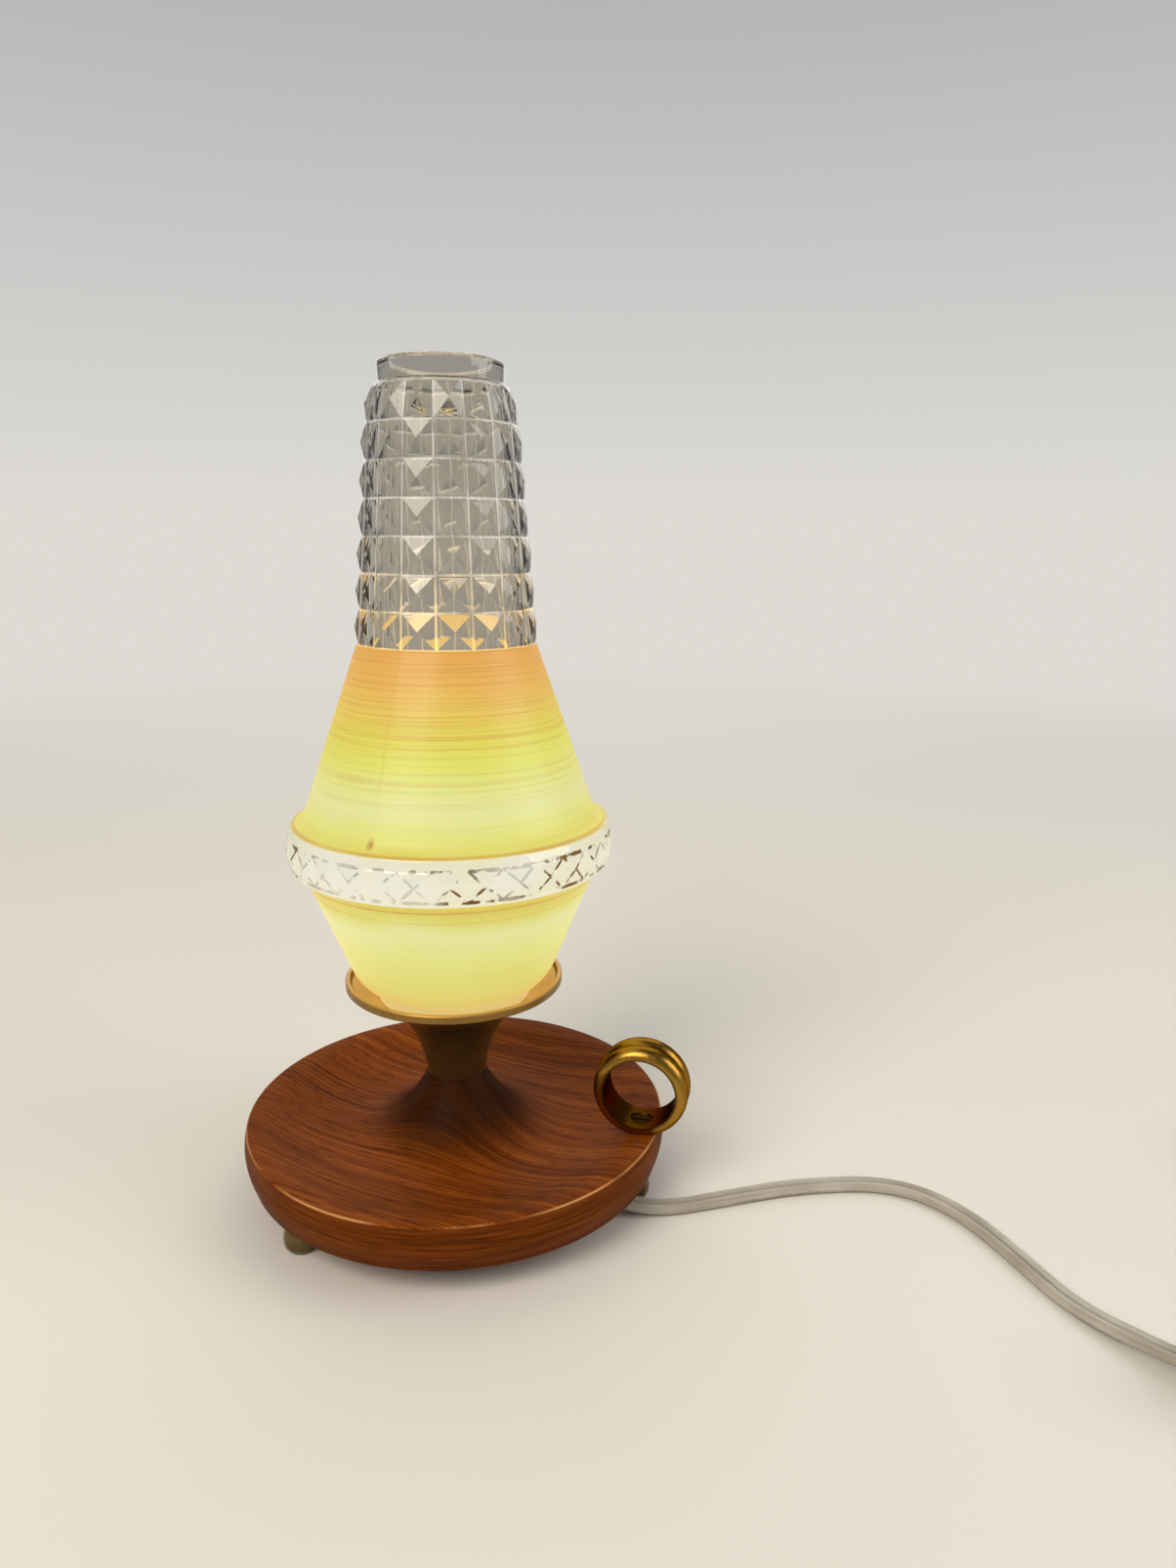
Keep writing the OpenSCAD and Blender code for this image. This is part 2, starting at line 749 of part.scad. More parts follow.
module holder_cap() {
    r = holder_d / 2;
    floor_h = 2.4;
    ledge = 1.6;
    color(ceramic)
        rotate_extrude()
            polygon([
                [tube_hole_r, holder_z], [r - 1, holder_z], [r, holder_z + 1], [r, sleeve_z],
                [r - holder_wall, sleeve_z], [r - holder_wall, insert_z],
                [r - holder_wall - ledge, insert_z], [r - holder_wall - ledge, holder_z + floor_h],
                [tube_hole_r, holder_z + floor_h]
            ]);
}

module holder_insert() {
    r = holder_d / 2 - holder_wall - hole_clearance;
    color(ceramic)
        difference() {
            translate([0, 0, insert_z])
                cylinder(r = r, h = insert_h);
            terminal_ways(hole_clearance / 2);
        }
}

module holder_sleeve() {
    r = holder_d / 2;
    over = insert_top - sleeve_z + near_gap;
    inner_r = shell_r + shell_wall + hole_clearance;
    color(ceramic)
        rotate_extrude()
            polygon([
                [r - holder_wall, sleeve_z], [r, sleeve_z], [r, sleeve_top - 1], [r - 1, sleeve_top],
                [inner_r, sleeve_top], [inner_r, sleeve_z + over], [r - holder_wall, sleeve_z + over]
            ]);
}

module screw_shell() {
    color(brass)
        translate([0, 0, insert_top])
            difference() {
                cylinder(r = shell_r + shell_wall, h = sleeve_top - insert_top - near_gap);
                translate([0, 0, -1])
                    cylinder(r = shell_r, h = sleeve_top - insert_top + 2);
            }
}

module centre_contact() {
    color(brass)
        translate([0, 0, insert_top])
            union() {
                cylinder(r = contact_r + 1, h = contact_plate_h / 2);
                cylinder(r = contact_r, h = contact_plate_h);
            }
}

module terminal_ways(clearance) {
    for (side = [-1, 1])
        translate([side * 6, 0, insert_z - 1])
            cylinder(r = 1.2 + clearance, h = 4.4 + clearance);
}

module terminal_screws() {
    color(brass)
        union() {
            terminal_ways(0);
            for (side = [-1, 1])
                translate([side * 6, 0, insert_z - 1.6])
                    cylinder(r = 2, h = 1.4);
        }
}

module inner_lead() {
    color(white_cord)
        sweep(inner_route, twin_section, fixed_side = [sin(lead_angle), -cos(lead_angle), 0]);
}

module bulb_cap() {
    steps = 24;
    r = cap_d / 2;
    screw_h = cap_h * 0.8;
    wave = [for (i = [0 : steps])
        let (z = screw_h * i / steps)
        [r - thread_depth * (1 - cos(360 * z / thread_pitch)) / 2, cap_z + z]];
    color(brass)
        rotate_extrude()
            polygon(concat(
                [[0, cap_z]], wave,
                [[r - thread_depth, cap_z + screw_h + 0.6], [r - thread_depth, cap_top], [0, cap_top]]
            ));
}

module bulb_insulator() {
    color(bakelite)
        translate([0, 0, bulb_z + contact_h])
            cylinder(r1 = contact_r + 0.4, r2 = cap_d / 2 - thread_depth, h = insulator_h);
}

module bulb_contact() {
    color(steel)
        translate([0, 0, bulb_z])
            cylinder(r1 = contact_r * 0.7, r2 = contact_r, h = contact_h);
}

module bulb_glass() {
    r = bulb_d / 2;
    neck_r = cap_d / 2 - thread_depth;
    mid_z = cap_top + bulb_h * 0.56;
    outer = concat(
        [[neck_r, cap_top]],
        curve([neck_r, cap_top + 1.5], [r, cap_top + bulb_h * 0.14], [r, mid_z], 10),
        curve([r, mid_z], [r, bulb_top - bulb_h * 0.08], [r * 0.42, bulb_top - bulb_h * 0.015], 8)
    );
    inner = shifted(outer, -bulb_wall, 0);
    color(clear_glass)
        rotate_extrude()
            polygon(concat(
                outer, [[0, bulb_top], [0, bulb_top - bulb_wall]],
                backwards([for (p = inner) [p.x, max(cap_top, p.y - (p.y > mid_z ? bulb_wall : 0))]])
            ));
}

module bulb_mount() {
    stem_r = 2;
    stem_top = cap_top + bulb_h * 0.28;
    wire_top = cap_top + bulb_h * 0.5;
    spread = 6;
    wire_r = 0.4;
    color(clear_glass)
        union() {
            translate([0, 0, cap_top])
                cylinder(r1 = stem_r * 1.4, r2 = stem_r, h = stem_top - cap_top);
            for (side = [-1, 1]) {
                reach = [side * spread, 0, wire_top - stem_top + 1];
                translate([0, 0, stem_top - 1])
                    rotate([0, side * atan2(spread, reach.z), 0])
                        cylinder(r = wire_r, h = norm(reach));
            }
            translate([-spread, 0, wire_top])
                rotate([0, 90, 0])
                    cylinder(r = 0.8, h = 2 * spread);
        }
}

// Edge radius of the neck at a row line, counted from its foot
function row_r(k) = k >= neck_rows ? shoulder_d / 2
    : (neck_d1 + (neck_d2 - neck_d1) * k / (neck_rows - 1)) / 2;
function row_z(k) = neck_z + k * row_h;

module pyramid_sleeve() {
    sides = 2 * neck_columns;
    lines = 2 * neck_rows;
    // Row lines and rows' middles take turns
    function line_r(i) = (row_r(floor(i / 2)) + row_r(ceil(i / 2))) / 2;
    function tip(i, j) = i % 2 == 1 && j % 2 == 1 ? pyramid_h : 0;
    function line_z(i) = neck_z + i * row_h / 2;
    function around(j) = column_turn + 360 * j / sides;
    function spot(r, i, j) = [r * cos(around(j)), r * sin(around(j)), line_z(i)];
    outer = [for (i = [0 : lines]) for (j = [0 : sides - 1]) spot(line_r(i) + tip(i, j), i, j)];
    inner = [for (i = [0 : lines]) for (j = [0 : sides - 1]) spot(line_r(i) - sleeve_depth, i, j)];
    n = len(outer);
    // The diagonal of each small square runs from a corner to the tip of its pyramid
    faces = [for (i = [0 : lines - 1]) for (j = [0 : sides - 1])
        let (
            k = (j + 1) % sides,
            a = i * sides + j,
            b = i * sides + k,
            c = a + sides,
            d = b + sides,
            rising = (i + j) % 2 == 0
        )
        each rising
            ? [[a, d, b], [a, c, d], [n + a, n + b, n + d], [n + a, n + d, n + c]]
            : [[a, c, b], [b, c, d], [n + a, n + b, n + c], [n + b, n + d, n + c]]];
    ends = [for (j = [0 : sides - 1])
        let (k = (j + 1) % sides, t = lines * sides)
        each [
            [j, k, n + j], [k, n + k, n + j],
            [t + k, t + j, n + t + j], [t + k, n + t + j, n + t + k]
        ]];
    polyhedron(points = concat(outer, inner), faces = concat(faces, ends), convexity = 10);
}

// One length of the glass, from its outer and inner outlines
module glass_length(outer, inner) {
    rotate_extrude($fn = 128)
        polygon(concat(outer, backwards(inner)));
}

module shade_bowl() {
    collar_r = collar_d / 2;
    bore_r = collar_r - collar_wall;
    outer = concat(
        [[collar_r - collar_edge, shade_z], [collar_r, shade_z + collar_edge]],
        curve(
            [collar_r, collar_top],
            [lower_cone_d1 / 2 - 2.5, collar_top + 0.6],
            [lower_cone_d1 / 2, lower_cone_z]
        ),
        curve(
            [lower_cone_d2 / 2, lower_flare_z],
            [lower_cone_d2 / 2 + 1.6, lower_flare_z + lower_flare_h * 0.7],
            [band_edge_d / 2, band_z],
            6
        )
    );
    color(enamel)
        glass_length(outer, [for (p = outer) [max(p.x - glass_wall, bore_r), p.y]]);
}

module shade_cone() {
    edge_r = band_edge_d / 2;
    outer = concat(
        curve([edge_r, band_z], [belly_d - edge_r, (band_z + band_top) / 2], [edge_r, band_top]),
        curve(
            [edge_r, band_top],
            [upper_cone_d1 / 2 + 0.9, band_top + upper_flare_h * 0.35],
            [upper_cone_d1 / 2, upper_cone_z],
            6
        ),
        [[upper_cone_d2 / 2, neck_z]]
    );
    color(enamel)
        glass_length(outer, shifted(outer, -glass_wall, 0));
}

module shade_neck() {
    rim_r = rim_d / 2;
    outer = concat(
        [for (k = [0 : neck_rows]) [row_r(k) - wall_step, row_z(k)]],
        [[rim_r, rows_top + 0.6], [rim_r + 0.3, shade_top - 0.8], [rim_r - 0.4, shade_top]]
    );
    inner = concat(
        [[upper_cone_d2 / 2 - glass_wall, neck_z]],
        [for (k = [1 : neck_rows]) [row_r(k) - glass_wall, row_z(k)]],
        [[rim_r - glass_wall, rows_top + 0.6], [rim_r - glass_wall, shade_top]]
    );
    color(clear_glass)
        union() {
            glass_length(outer, inner);
            pyramid_sleeve();
        }
}

module cord_lead() {
    color(white_cord)
        sweep(lead_route, twin_section);
}

module cord_coil() {
    color(white_cord)
        sweep(coil_route, coil_section, coil_roll);
}

module coil_tie() {
    inner_r = coil_radius(coil_turns / 2) - cord_t / 2 - near_gap;
    outer_r = coil_r + cord_t / 2 + near_gap;
    room = [outer_r - inner_r, tie_w, layer_h + cord_w + 2 * near_gap];
    color(bakelite)
        translate([coil_at.x, coil_at.y, 0])
            rotate([0, 0, coil_angle - 100])
                translate([inner_r - tie_t, -tie_w / 2, 0])
                    difference() {
                        cube([room.x + 2 * tie_t, tie_w, room.z + 2 * tie_t]);
                        translate([tie_t, -1, tie_t])
                            cube([room.x, tie_w + 2, room.z]);
                    }
}

module on_switch_frame() {
    translate([switch_at.x, switch_at.y, 0])
        rotate([0, 0, switch_angle])
            children();
}

// Ways through the switch's ends for the flat cord
module cord_ways() {
    w = cord_w + 2 * hole_clearance;
    h = cord_t + 2 * hole_clearance;
    translate([-switch_l, -w / 2, switch_cord_z - h / 2])
        cube([2 * switch_l, w, h]);
}

switch_screw_x = switch_l / 2 - 5.5;
switch_screw_y = switch_w / 2 - 4;
switch_screw_d = 2.2;
pin_z = switch_base_h + switch_cover_h - 3.2;

module switch_screw_posts(z, h) {
    for (side = [-1, 1])
        translate([side * switch_screw_x, side * switch_screw_y, z])
            cylinder(d = switch_screw_d + 2.6, h = h);
}

module switch_screw_ways(clearance) {
    for (side = [-1, 1])
        translate([side * switch_screw_x, side * switch_screw_y, 0])
            union() {
                translate([0, 0, 1])
                    cylinder(d = switch_screw_d + 2 * clearance, h = switch_base_h + 3.4);
                translate([0, 0, clearance > 0 ? -1 : 0.4])
                    cylinder(d = 2 * switch_screw_d - 0.6 + 2 * clearance, h = clearance > 0 ? 2.4 : 1);
            }
}

module switch_base() {
    r = 5;
    color(white_cord)
        on_switch_frame()
            difference() {
                union() {
                    difference() {
                        round_plate(switch_l, switch_w, r, switch_base_h);
                        translate([0, 0, switch_wall])
                            round_plate(
                                switch_l - 2 * switch_wall, switch_w - 2 * switch_wall,
                                r - switch_wall, switch_base_h
                            );
                    }
                    switch_screw_posts(switch_wall / 2, switch_base_h - switch_wall / 2);
                }
                cord_ways();
                switch_screw_ways(hole_clearance);
            }
}

module switch_cover() {
    r = 5;
    lid = 1.6;
    open_l = rocker_l + 2 * near_gap;
    open_w = rocker_w + 2 * near_gap;
    color(white_cord)
        on_switch_frame()
            difference() {
                union() {
                    translate([0, 0, switch_base_h])
                        difference() {
                            round_plate(switch_l, switch_w, r, switch_cover_h);
                            translate([0, 0, -1])
                                round_plate(
                                    switch_l - 2 * switch_wall, switch_w - 2 * switch_wall,
                                    r - switch_wall, switch_cover_h - lid + 1
                                );
                        }
                    switch_screw_posts(switch_base_h, switch_cover_h - lid / 2);
                    for (side = [-1, 1])
                        translate([-2.4, side * (open_w / 2 + 0.9) - 0.9, pin_z - 2.4])
                            cube([4.8, 1.8, switch_base_h + switch_cover_h - lid / 2 - pin_z + 2.4]);
                }
                translate([-open_l / 2, -open_w / 2, switch_base_h + 1])
                    cube([open_l, open_w, switch_cover_h + 1]);
                translate([0, 0, pin_z])
                    rotate([90, 0, 0])
                        cylinder(d = rocker_pin_d + hole_clearance / 2, h = open_w + 5, center = true);
                switch_screw_ways(hole_clearance / 2);
            }
}

module switch_rocker() {
    top = switch_base_h + switch_cover_h;
    crown = 1.6;
    skirt = 2.6;
    half = rocker_l / 2;
    // Top of the rocker: two slopes that meet over the pin, tipped so that one side is down
    color(bakelite)
        on_switch_frame()
            difference() {
                translate([0, 0, pin_z])
                    rotate([90, rocker_tip, 0])
                        linear_extrude(rocker_w, center = true)
                            polygon([
                                [-half + 0.8, -skirt], [half - 0.8, -skirt],
                                [half - 0.8, top - pin_z + crown], [0, top - pin_z + crown - 1.4],
                                [-half + 0.8, top - pin_z + crown]
                            ]);
                translate([0, 0, pin_z])
                    rotate([90, 0, 0])
                        cylinder(d = rocker_pin_d + 2 * turning_clearance, h = 2 * rocker_w, center = true);
            }
}

module rocker_pin() {
    color(steel)
        on_switch_frame()
            translate([0, 0, pin_z])
                rotate([90, 0, 0])
                    cylinder(d = rocker_pin_d, h = rocker_w + 2 * near_gap + 3, center = true);
}

module switch_contacts() {
    strip = [8, 4, 0.8];
    color(brass)
        on_switch_frame()
            for (side = [-1, 1])
                translate([side * 9.4 - strip.x / 2, -strip.y / 2, switch_wall])
                    union() {
                        cube(strip);
                        translate([side > 0 ? 0 : strip.x - 0.8, 0, 0])
                            cube([0.8, strip.y, switch_cord_z - cord_t / 2 - switch_wall - near_gap]);
                    }
}

module switch_screws() {
    color(steel)
        on_switch_frame()
            switch_screw_ways(0);
}

module on_plug_frame() {
    at = on_tail(tail_l, plug_z);
    translate(at)
        rotate([0, 0, coil_end + 90])
            children();
}

module plug_body() {
    half = plug_w / 2;
    waist = sleeve_d / 2 + 3;
    edge = 1.6;
    color(white_cord)
        on_plug_frame()
            union() {
                rotate([0, 90, 0])
                    cylinder(d1 = sleeve_d, d2 = sleeve_d + 2.4, h = sleeve_l + 2);
                translate([sleeve_l, 0, -plug_t / 2])
                    linear_extrude(plug_t)
                        polygon([
                            [0, -waist], [4, -waist - 1], [plug_l * 0.6, -half], [plug_l - edge, -half],
                            [plug_l, -half + edge], [plug_l, half - edge], [plug_l - edge, half],
                            [plug_l * 0.6, half], [4, waist + 1], [0, waist]
                        ]);
            }
}

module plug_pins() {
    tip = 0.8;
    color(steel)
        on_plug_frame()
            for (side = [-1, 1])
                translate([sleeve_l + plug_l, side * pin_pitch / 2, 0])
                    rotate([0, 90, 0])
                        union() {
                            cylinder(d = pin_d, h = pin_l - tip);
                            translate([0, 0, pin_l - tip])
                                cylinder(d1 = pin_d, d2 = pin_d - 2 * tip, h = tip);
                        }
}

wood_base();
feet();
ring_handle();
ring_screw();
threaded_tube();
base_washer();
base_nut();
cord_clip();
clip_screws();
stem_trumpet();
shade_dish();
dish_washer();
dish_nut();
holder_cap();
holder_insert();
holder_sleeve();
screw_shell();
centre_contact();
terminal_screws();
inner_lead();
bulb_cap();
bulb_insulator();
bulb_contact();
bulb_glass();
bulb_mount();
shade_bowl();
shade_cone();
shade_neck();
cord_lead();
cord_coil();
coil_tie();
switch_base();
switch_cover();
switch_rocker();
rocker_pin();
switch_contacts();
switch_screws();
plug_body();
plug_pins();
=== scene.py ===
"""Dresses the candlestick table lamp: its finishes, glass shade, flat twin cord, cord switch and plug.

Sizes in the classes are millimetres in the part's own frame: +Z up, the lamp's axis at the origin.
"""

import logging
import math
from contextlib import contextmanager
from dataclasses import dataclass, field
from enum import Enum, IntEnum
from functools import partial
from typing import Callable, Iterable, Iterator, Optional, Sequence, Union

import bmesh
import bpy
from mathutils import Matrix, Vector


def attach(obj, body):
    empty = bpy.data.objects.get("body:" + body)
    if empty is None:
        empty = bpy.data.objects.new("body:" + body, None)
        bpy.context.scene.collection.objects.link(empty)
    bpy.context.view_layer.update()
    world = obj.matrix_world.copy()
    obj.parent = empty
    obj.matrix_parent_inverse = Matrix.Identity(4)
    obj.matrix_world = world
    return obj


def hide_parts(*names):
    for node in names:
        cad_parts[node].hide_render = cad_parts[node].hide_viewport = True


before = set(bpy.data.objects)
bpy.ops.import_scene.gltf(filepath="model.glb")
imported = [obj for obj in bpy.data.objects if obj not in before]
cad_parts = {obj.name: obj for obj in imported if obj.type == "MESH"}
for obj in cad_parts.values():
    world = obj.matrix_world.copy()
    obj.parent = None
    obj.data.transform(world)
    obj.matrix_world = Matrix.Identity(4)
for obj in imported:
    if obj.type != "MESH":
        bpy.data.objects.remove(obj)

log = logging.getLogger("table_lamp")

MM = 0.001
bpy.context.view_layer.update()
BLACK = "#000000"

Pair = tuple[float, float]
Triple = tuple[float, float, float]
Colour = tuple[float, float, float, float]
Piece = bpy.types.Object
Material = bpy.types.Material
Socket = bpy.types.NodeSocket
Value = Union[float, str, Sequence[float], Socket]
Inputs = dict[Union[str, int], Value]
AddNode = Callable[..., Socket]


# Small tools


def linear(code: str) -> Colour:
    """Turns an sRGB hex colour into linear light.

    Args:
        code: six hex digits after a hash.

    Returns:
        Red, green, blue and an alpha of 1.
    """
    parts = [int(code[i:i + 2], 16) / 255 for i in (1, 3, 5)]
    red, green, blue = [p / 12.92 if p <= 0.04045 else ((p + 0.055) / 1.055) ** 2.4 for p in parts]
    return (red, green, blue, 1.0)


def add_node(tree: bpy.types.NodeTree, kind: str, inputs: Optional[Inputs] = None,
             out: Union[str, int] = 0, **settings: object) -> Optional[Socket]:
    """Adds one node with its settings, values and links.

    Args:
        tree: the node tree that it goes in.
        kind: Blender's name of the node type, after the word ShaderNode.
        inputs: for each input, by name or number, a value, a hex colour or the socket that feeds it.
        out: the output that is wanted, by name or number.
        settings: properties of the node itself; ramp takes pairs of a place and a hex colour.

    Returns:
        That output, or nothing for a node that has none.
    """
    node = tree.nodes.new("ShaderNode" + kind)
    ramp = settings.pop("ramp", ())
    for key, value in settings.items():
        setattr(node, key, value)
    if ramp:
        stops = node.color_ramp.elements
        while len(stops) < len(ramp):
            stops.new(0.5)
        for stop, (place, code) in zip(stops, ramp):
            stop.position = place
            stop.color = linear(code)
    for key, value in (inputs or {}).items():
        if isinstance(value, Socket):
            tree.links.new(value, node.inputs[key])
        else:
            node.inputs[key].default_value = linear(value) if isinstance(value, str) else value
    return node.outputs[out] if node.outputs else None


def polar(degrees: float, reach: float, z: float = 0.0) -> Vector:
    """Gives the point at an angle from +X, a reach from the axis and a height."""
    a = math.radians(degrees)
    return Vector((reach * math.cos(a), reach * math.sin(a), z))


def deselect() -> None:
    """Leaves edit mode and deselects every object."""
    if bpy.context.object and bpy.context.object.mode != "OBJECT":
        bpy.ops.object.mode_set(mode="OBJECT")
    bpy.ops.object.select_all(action="DESELECT")


def activate(piece: Piece) -> None:
    """Makes one piece the only selected and the active object.

    Args:
        piece: the object.
    """
    deselect()
    piece.select_set(True)
    bpy.context.view_layer.objects.active = piece


@contextmanager
def editing(piece: Piece) -> Iterator[None]:
    """Holds a piece in edit mode, with all of it selected at first.

    Args:
        piece: the object.

    Yields:
        Nothing; the piece is in edit mode meanwhile.
    """
    activate(piece)
    bpy.ops.object.mode_set(mode="EDIT")
    bpy.ops.mesh.select_all(action="SELECT")
    yield
    bpy.ops.object.mode_set(mode="OBJECT")


def pick(piece: Piece, kind: str, wanted: Callable[..., bool]) -> None:
    """Selects faces or edges of a piece in edit mode by their place.

    Args:
        piece: the object that is in edit mode.
        kind: FACE or EDGE.
        wanted: a test of one face or edge.
    """
    bpy.ops.mesh.select_mode(type=kind)
    bpy.ops.mesh.select_all(action="DESELECT")
    shape = bmesh.from_edit_mesh(piece.data)
    for item in [i for i in (shape.faces if kind == "FACE" else shape.edges) if wanted(i)]:
        item.select_set(True)
    bmesh.update_edit_mesh(piece.data)


def apply_modifier(piece: Piece, kind: str, **settings: object) -> None:
    """Adds a modifier to the piece and applies it.

    Args:
        piece: the object.
        kind: Blender's name of the modifier type.
        settings: properties of the modifier.
    """
    activate(piece)
    modifier = piece.modifiers.new(kind.lower(), kind)
    for key, value in settings.items():
        setattr(modifier, key, value)
    bpy.ops.object.modifier_apply(modifier=modifier.name)


def round_edges(piece: Piece, width: float, angle: float, segments: int, shaded: float) -> None:
    """Rounds a piece's sharp edges and shades it smooth.

    Args:
        piece: the object.
        width: width of the rounding in millimetres.
        angle: edges sharper than this many degrees are rounded.
        segments: faces across the rounding.
        shaded: edges flatter than this many degrees are shaded smooth.
    """
    apply_modifier(piece, "BEVEL", width=width * MM, segments=segments, limit_method="ANGLE",
                   angle_limit=math.radians(angle), use_clamp_overlap=True)
    smooth(piece, shaded)


def smooth(piece: Piece, degrees: float) -> None:
    """Shades the piece smooth across edges flatter than an angle."""
    activate(piece)
    bpy.ops.object.shade_smooth_by_angle(angle=math.radians(degrees))


def face_outwards(piece: Piece) -> None:
    """Merges doubled points and turns every face outwards.

    Args:
        piece: the object.
    """
    with editing(piece):
        bpy.ops.mesh.remove_doubles(threshold=0.01 * MM)
        bpy.ops.mesh.normals_make_consistent(inside=False)


def curve(start: Pair, control: Pair, end: Pair, steps: int) -> list[Pair]:
    """Gives points on a quadratic curve of a turned profile.

    Args:
        start: radius and height where it starts.
        control: the point that pulls it.
        end: radius and height where it ends.
        steps: stretches between the points.

    Returns:
        The points, both ends included.
    """
    points = []
    for i in range(steps + 1):
        t = i / steps
        a, b, c = (1 - t) ** 2, 2 * t * (1 - t), t * t
        radius, height = (a * p + b * q + c * r for p, q, r in zip(start, control, end))
        points.append((radius, height))
    return points


def turn_rings(name: str, rings: Sequence[Pair], sides: int, turn: float = 0.0) -> Piece:
    """Turns a wall about Z by extruding a circle from ring to ring.

    Args:
        name: the new object's name.
        rings: radius and height of each ring.
        sides: points round each ring.
        turn: angle of the first point, in degrees from +X.

    Returns:
        An open wall with its place in its mesh.
    """
    deselect()
    radius, height = rings[0]
    bpy.ops.mesh.primitive_circle_add(
        vertices=sides, radius=radius * MM, location=(0, 0, height * MM),
        rotation=(0, 0, math.radians(turn - 90)))
    wall = bpy.context.active_object
    wall.name = name
    activate(wall)
    bpy.ops.object.transform_apply(location=True, rotation=True, scale=True)
    with editing(wall):
        for (r0, z0), (r1, z1) in zip(rings, rings[1:]):
            bpy.ops.mesh.extrude_edges_move(TRANSFORM_OT_translate={"value": (0, 0, (z1 - z0) * MM)})
            bpy.ops.transform.resize(value=(r1 / r0, r1 / r0, 1), center_override=(0, 0, 0))
    return wall


def join(pieces: Sequence[Piece], name: str) -> Piece:
    """Joins pieces into the first one.

    Args:
        pieces: the objects.
        name: the name of the result.

    Returns:
        The joined object.
    """
    activate(pieces[0])
    for piece in pieces:
        piece.select_set(True)
    bpy.ops.object.join()
    pieces[0].name = name
    return pieces[0]


def bridge(piece: Piece, low: Pair, high: Pair, near: float = 0.05) -> None:
    """Closes the gap between two open rings of a turned piece.

    Args:
        piece: the object.
        low: radius and height of one ring.
        high: radius and height of the other.
        near: how far a point may lie from its ring.
    """

    def on_ring(edge: bmesh.types.BMEdge) -> bool:
        """Tells whether an open edge lies on one of the two rings.

        Args:
            edge: the edge.

        Returns:
            True where it does.
        """
        spots = [(v.co.xy.length / MM, v.co.z / MM) for v in edge.verts]
        return edge.is_boundary and any(
            all(abs(r - ring[0]) < near and abs(z - ring[1]) < near for r, z in spots)
            for ring in (low, high))

    with editing(piece):
        pick(piece, "EDGE", on_ring)
        bpy.ops.mesh.bridge_edge_loops()


def cad_copy(node: str, name: str) -> Piece:
    """Copies a CAD node's mesh and merges it into clean flat faces.

    Args:
        node: the CAD node's name.
        name: the new object's name.

    Returns:
        A new object with the node's shape.
    """
    deselect()
    piece = bpy.data.objects.new(name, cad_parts[node].data.copy())
    bpy.context.scene.collection.objects.link(piece)
    with editing(piece):
        bpy.ops.mesh.remove_doubles(threshold=0.005 * MM)
        bpy.ops.mesh.dissolve_limited(angle_limit=math.radians(1.0))
    return piece


def dress(piece: Piece, *finishes: Material) -> None:
    """Gives a new piece its materials.

    Args:
        piece: the object.
        finishes: the materials in slot order.
    """
    piece.data.materials.clear()
    for finish in finishes:
        piece.data.materials.append(finish)


def dress_nodes(finish: Material, *nodes: str) -> None:
    """Gives the objects of CAD nodes another material.

    Args:
        finish: the material.
        nodes: the CAD nodes' names.
    """
    for node in nodes:
        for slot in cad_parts[node].material_slots:
            slot.material = finish
        log.info("dressed %s with %s", node, finish.name)


def enlist(piece: Piece, body: str, slot: str, *nodes: str) -> None:
    """Parents a finished piece to its body and hides the CAD nodes that it stands for.

    Args:
        piece: the object.
        body: the CAD body that it rides on.
        slot: the record's material slot; not used.
        nodes: the CAD nodes that it stands for.
    """
    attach(piece, body)
    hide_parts(*nodes)
    log.info("built %s: %d faces, rides on %s", piece.name, len(piece.data.polygons), body)


def refine(node: str, finish: Material, body: str, slot: str, width: float, angle: float = 30.0,
           segments: int = 3) -> None:
    """Puts a dressed copy with rounded edges, as a mould or a file leaves them, in place of a CAD node.

    Args:
        node: the CAD node's name.
        finish: the material.
        body: the CAD body that it rides on.
        slot: the record's material slot; passed on to enlist, which does not use it.
        width: width of the rounding in millimetres.
        angle: edges sharper than this many degrees are rounded.
        segments: faces across the rounding.
    """
    piece = cad_copy(node, node + "_finished")
    round_edges(piece, width, angle, segments, shaded=35)
    dress(piece, finish)
    enlist(piece, body, slot, node)


# Finishes


class ToolMarks(Enum):
    """How a metal surface was finished."""

    TURNED = "turned"
    POLISHED = "polished"


@dataclass(frozen=True)
class Finish:
    """A procedural finish; each kind draws its own surface."""

    name: str

    def surface(self, add: AddNode, place: Socket) -> Inputs:
        """Draws the surface; each kind of finish has its own."""
        raise NotImplementedError(self.name)

    def build(self) -> Material:
        """Makes the material, with one Principled shader.

        Returns:
            The new material.
        """
        material = bpy.data.materials.new(self.name)
        material.use_nodes = True
        tree = material.node_tree
        tree.nodes.clear()
        add = partial(add_node, tree)
        shader = add("BsdfPrincipled", self.surface(add, add("TexCoord", out="Object")))
        add("OutputMaterial", {"Surface": shader})
        return material

    @staticmethod
    def from_axis(add: AddNode, place: Socket) -> Socket:
        """Measures how far a point lies from the lamp's axis."""
        flat = add("VectorMath", {0: place, 1: (1, 1, 0)}, operation="MULTIPLY")
        return add("VectorMath", {0: flat}, "Value", operation="LENGTH")


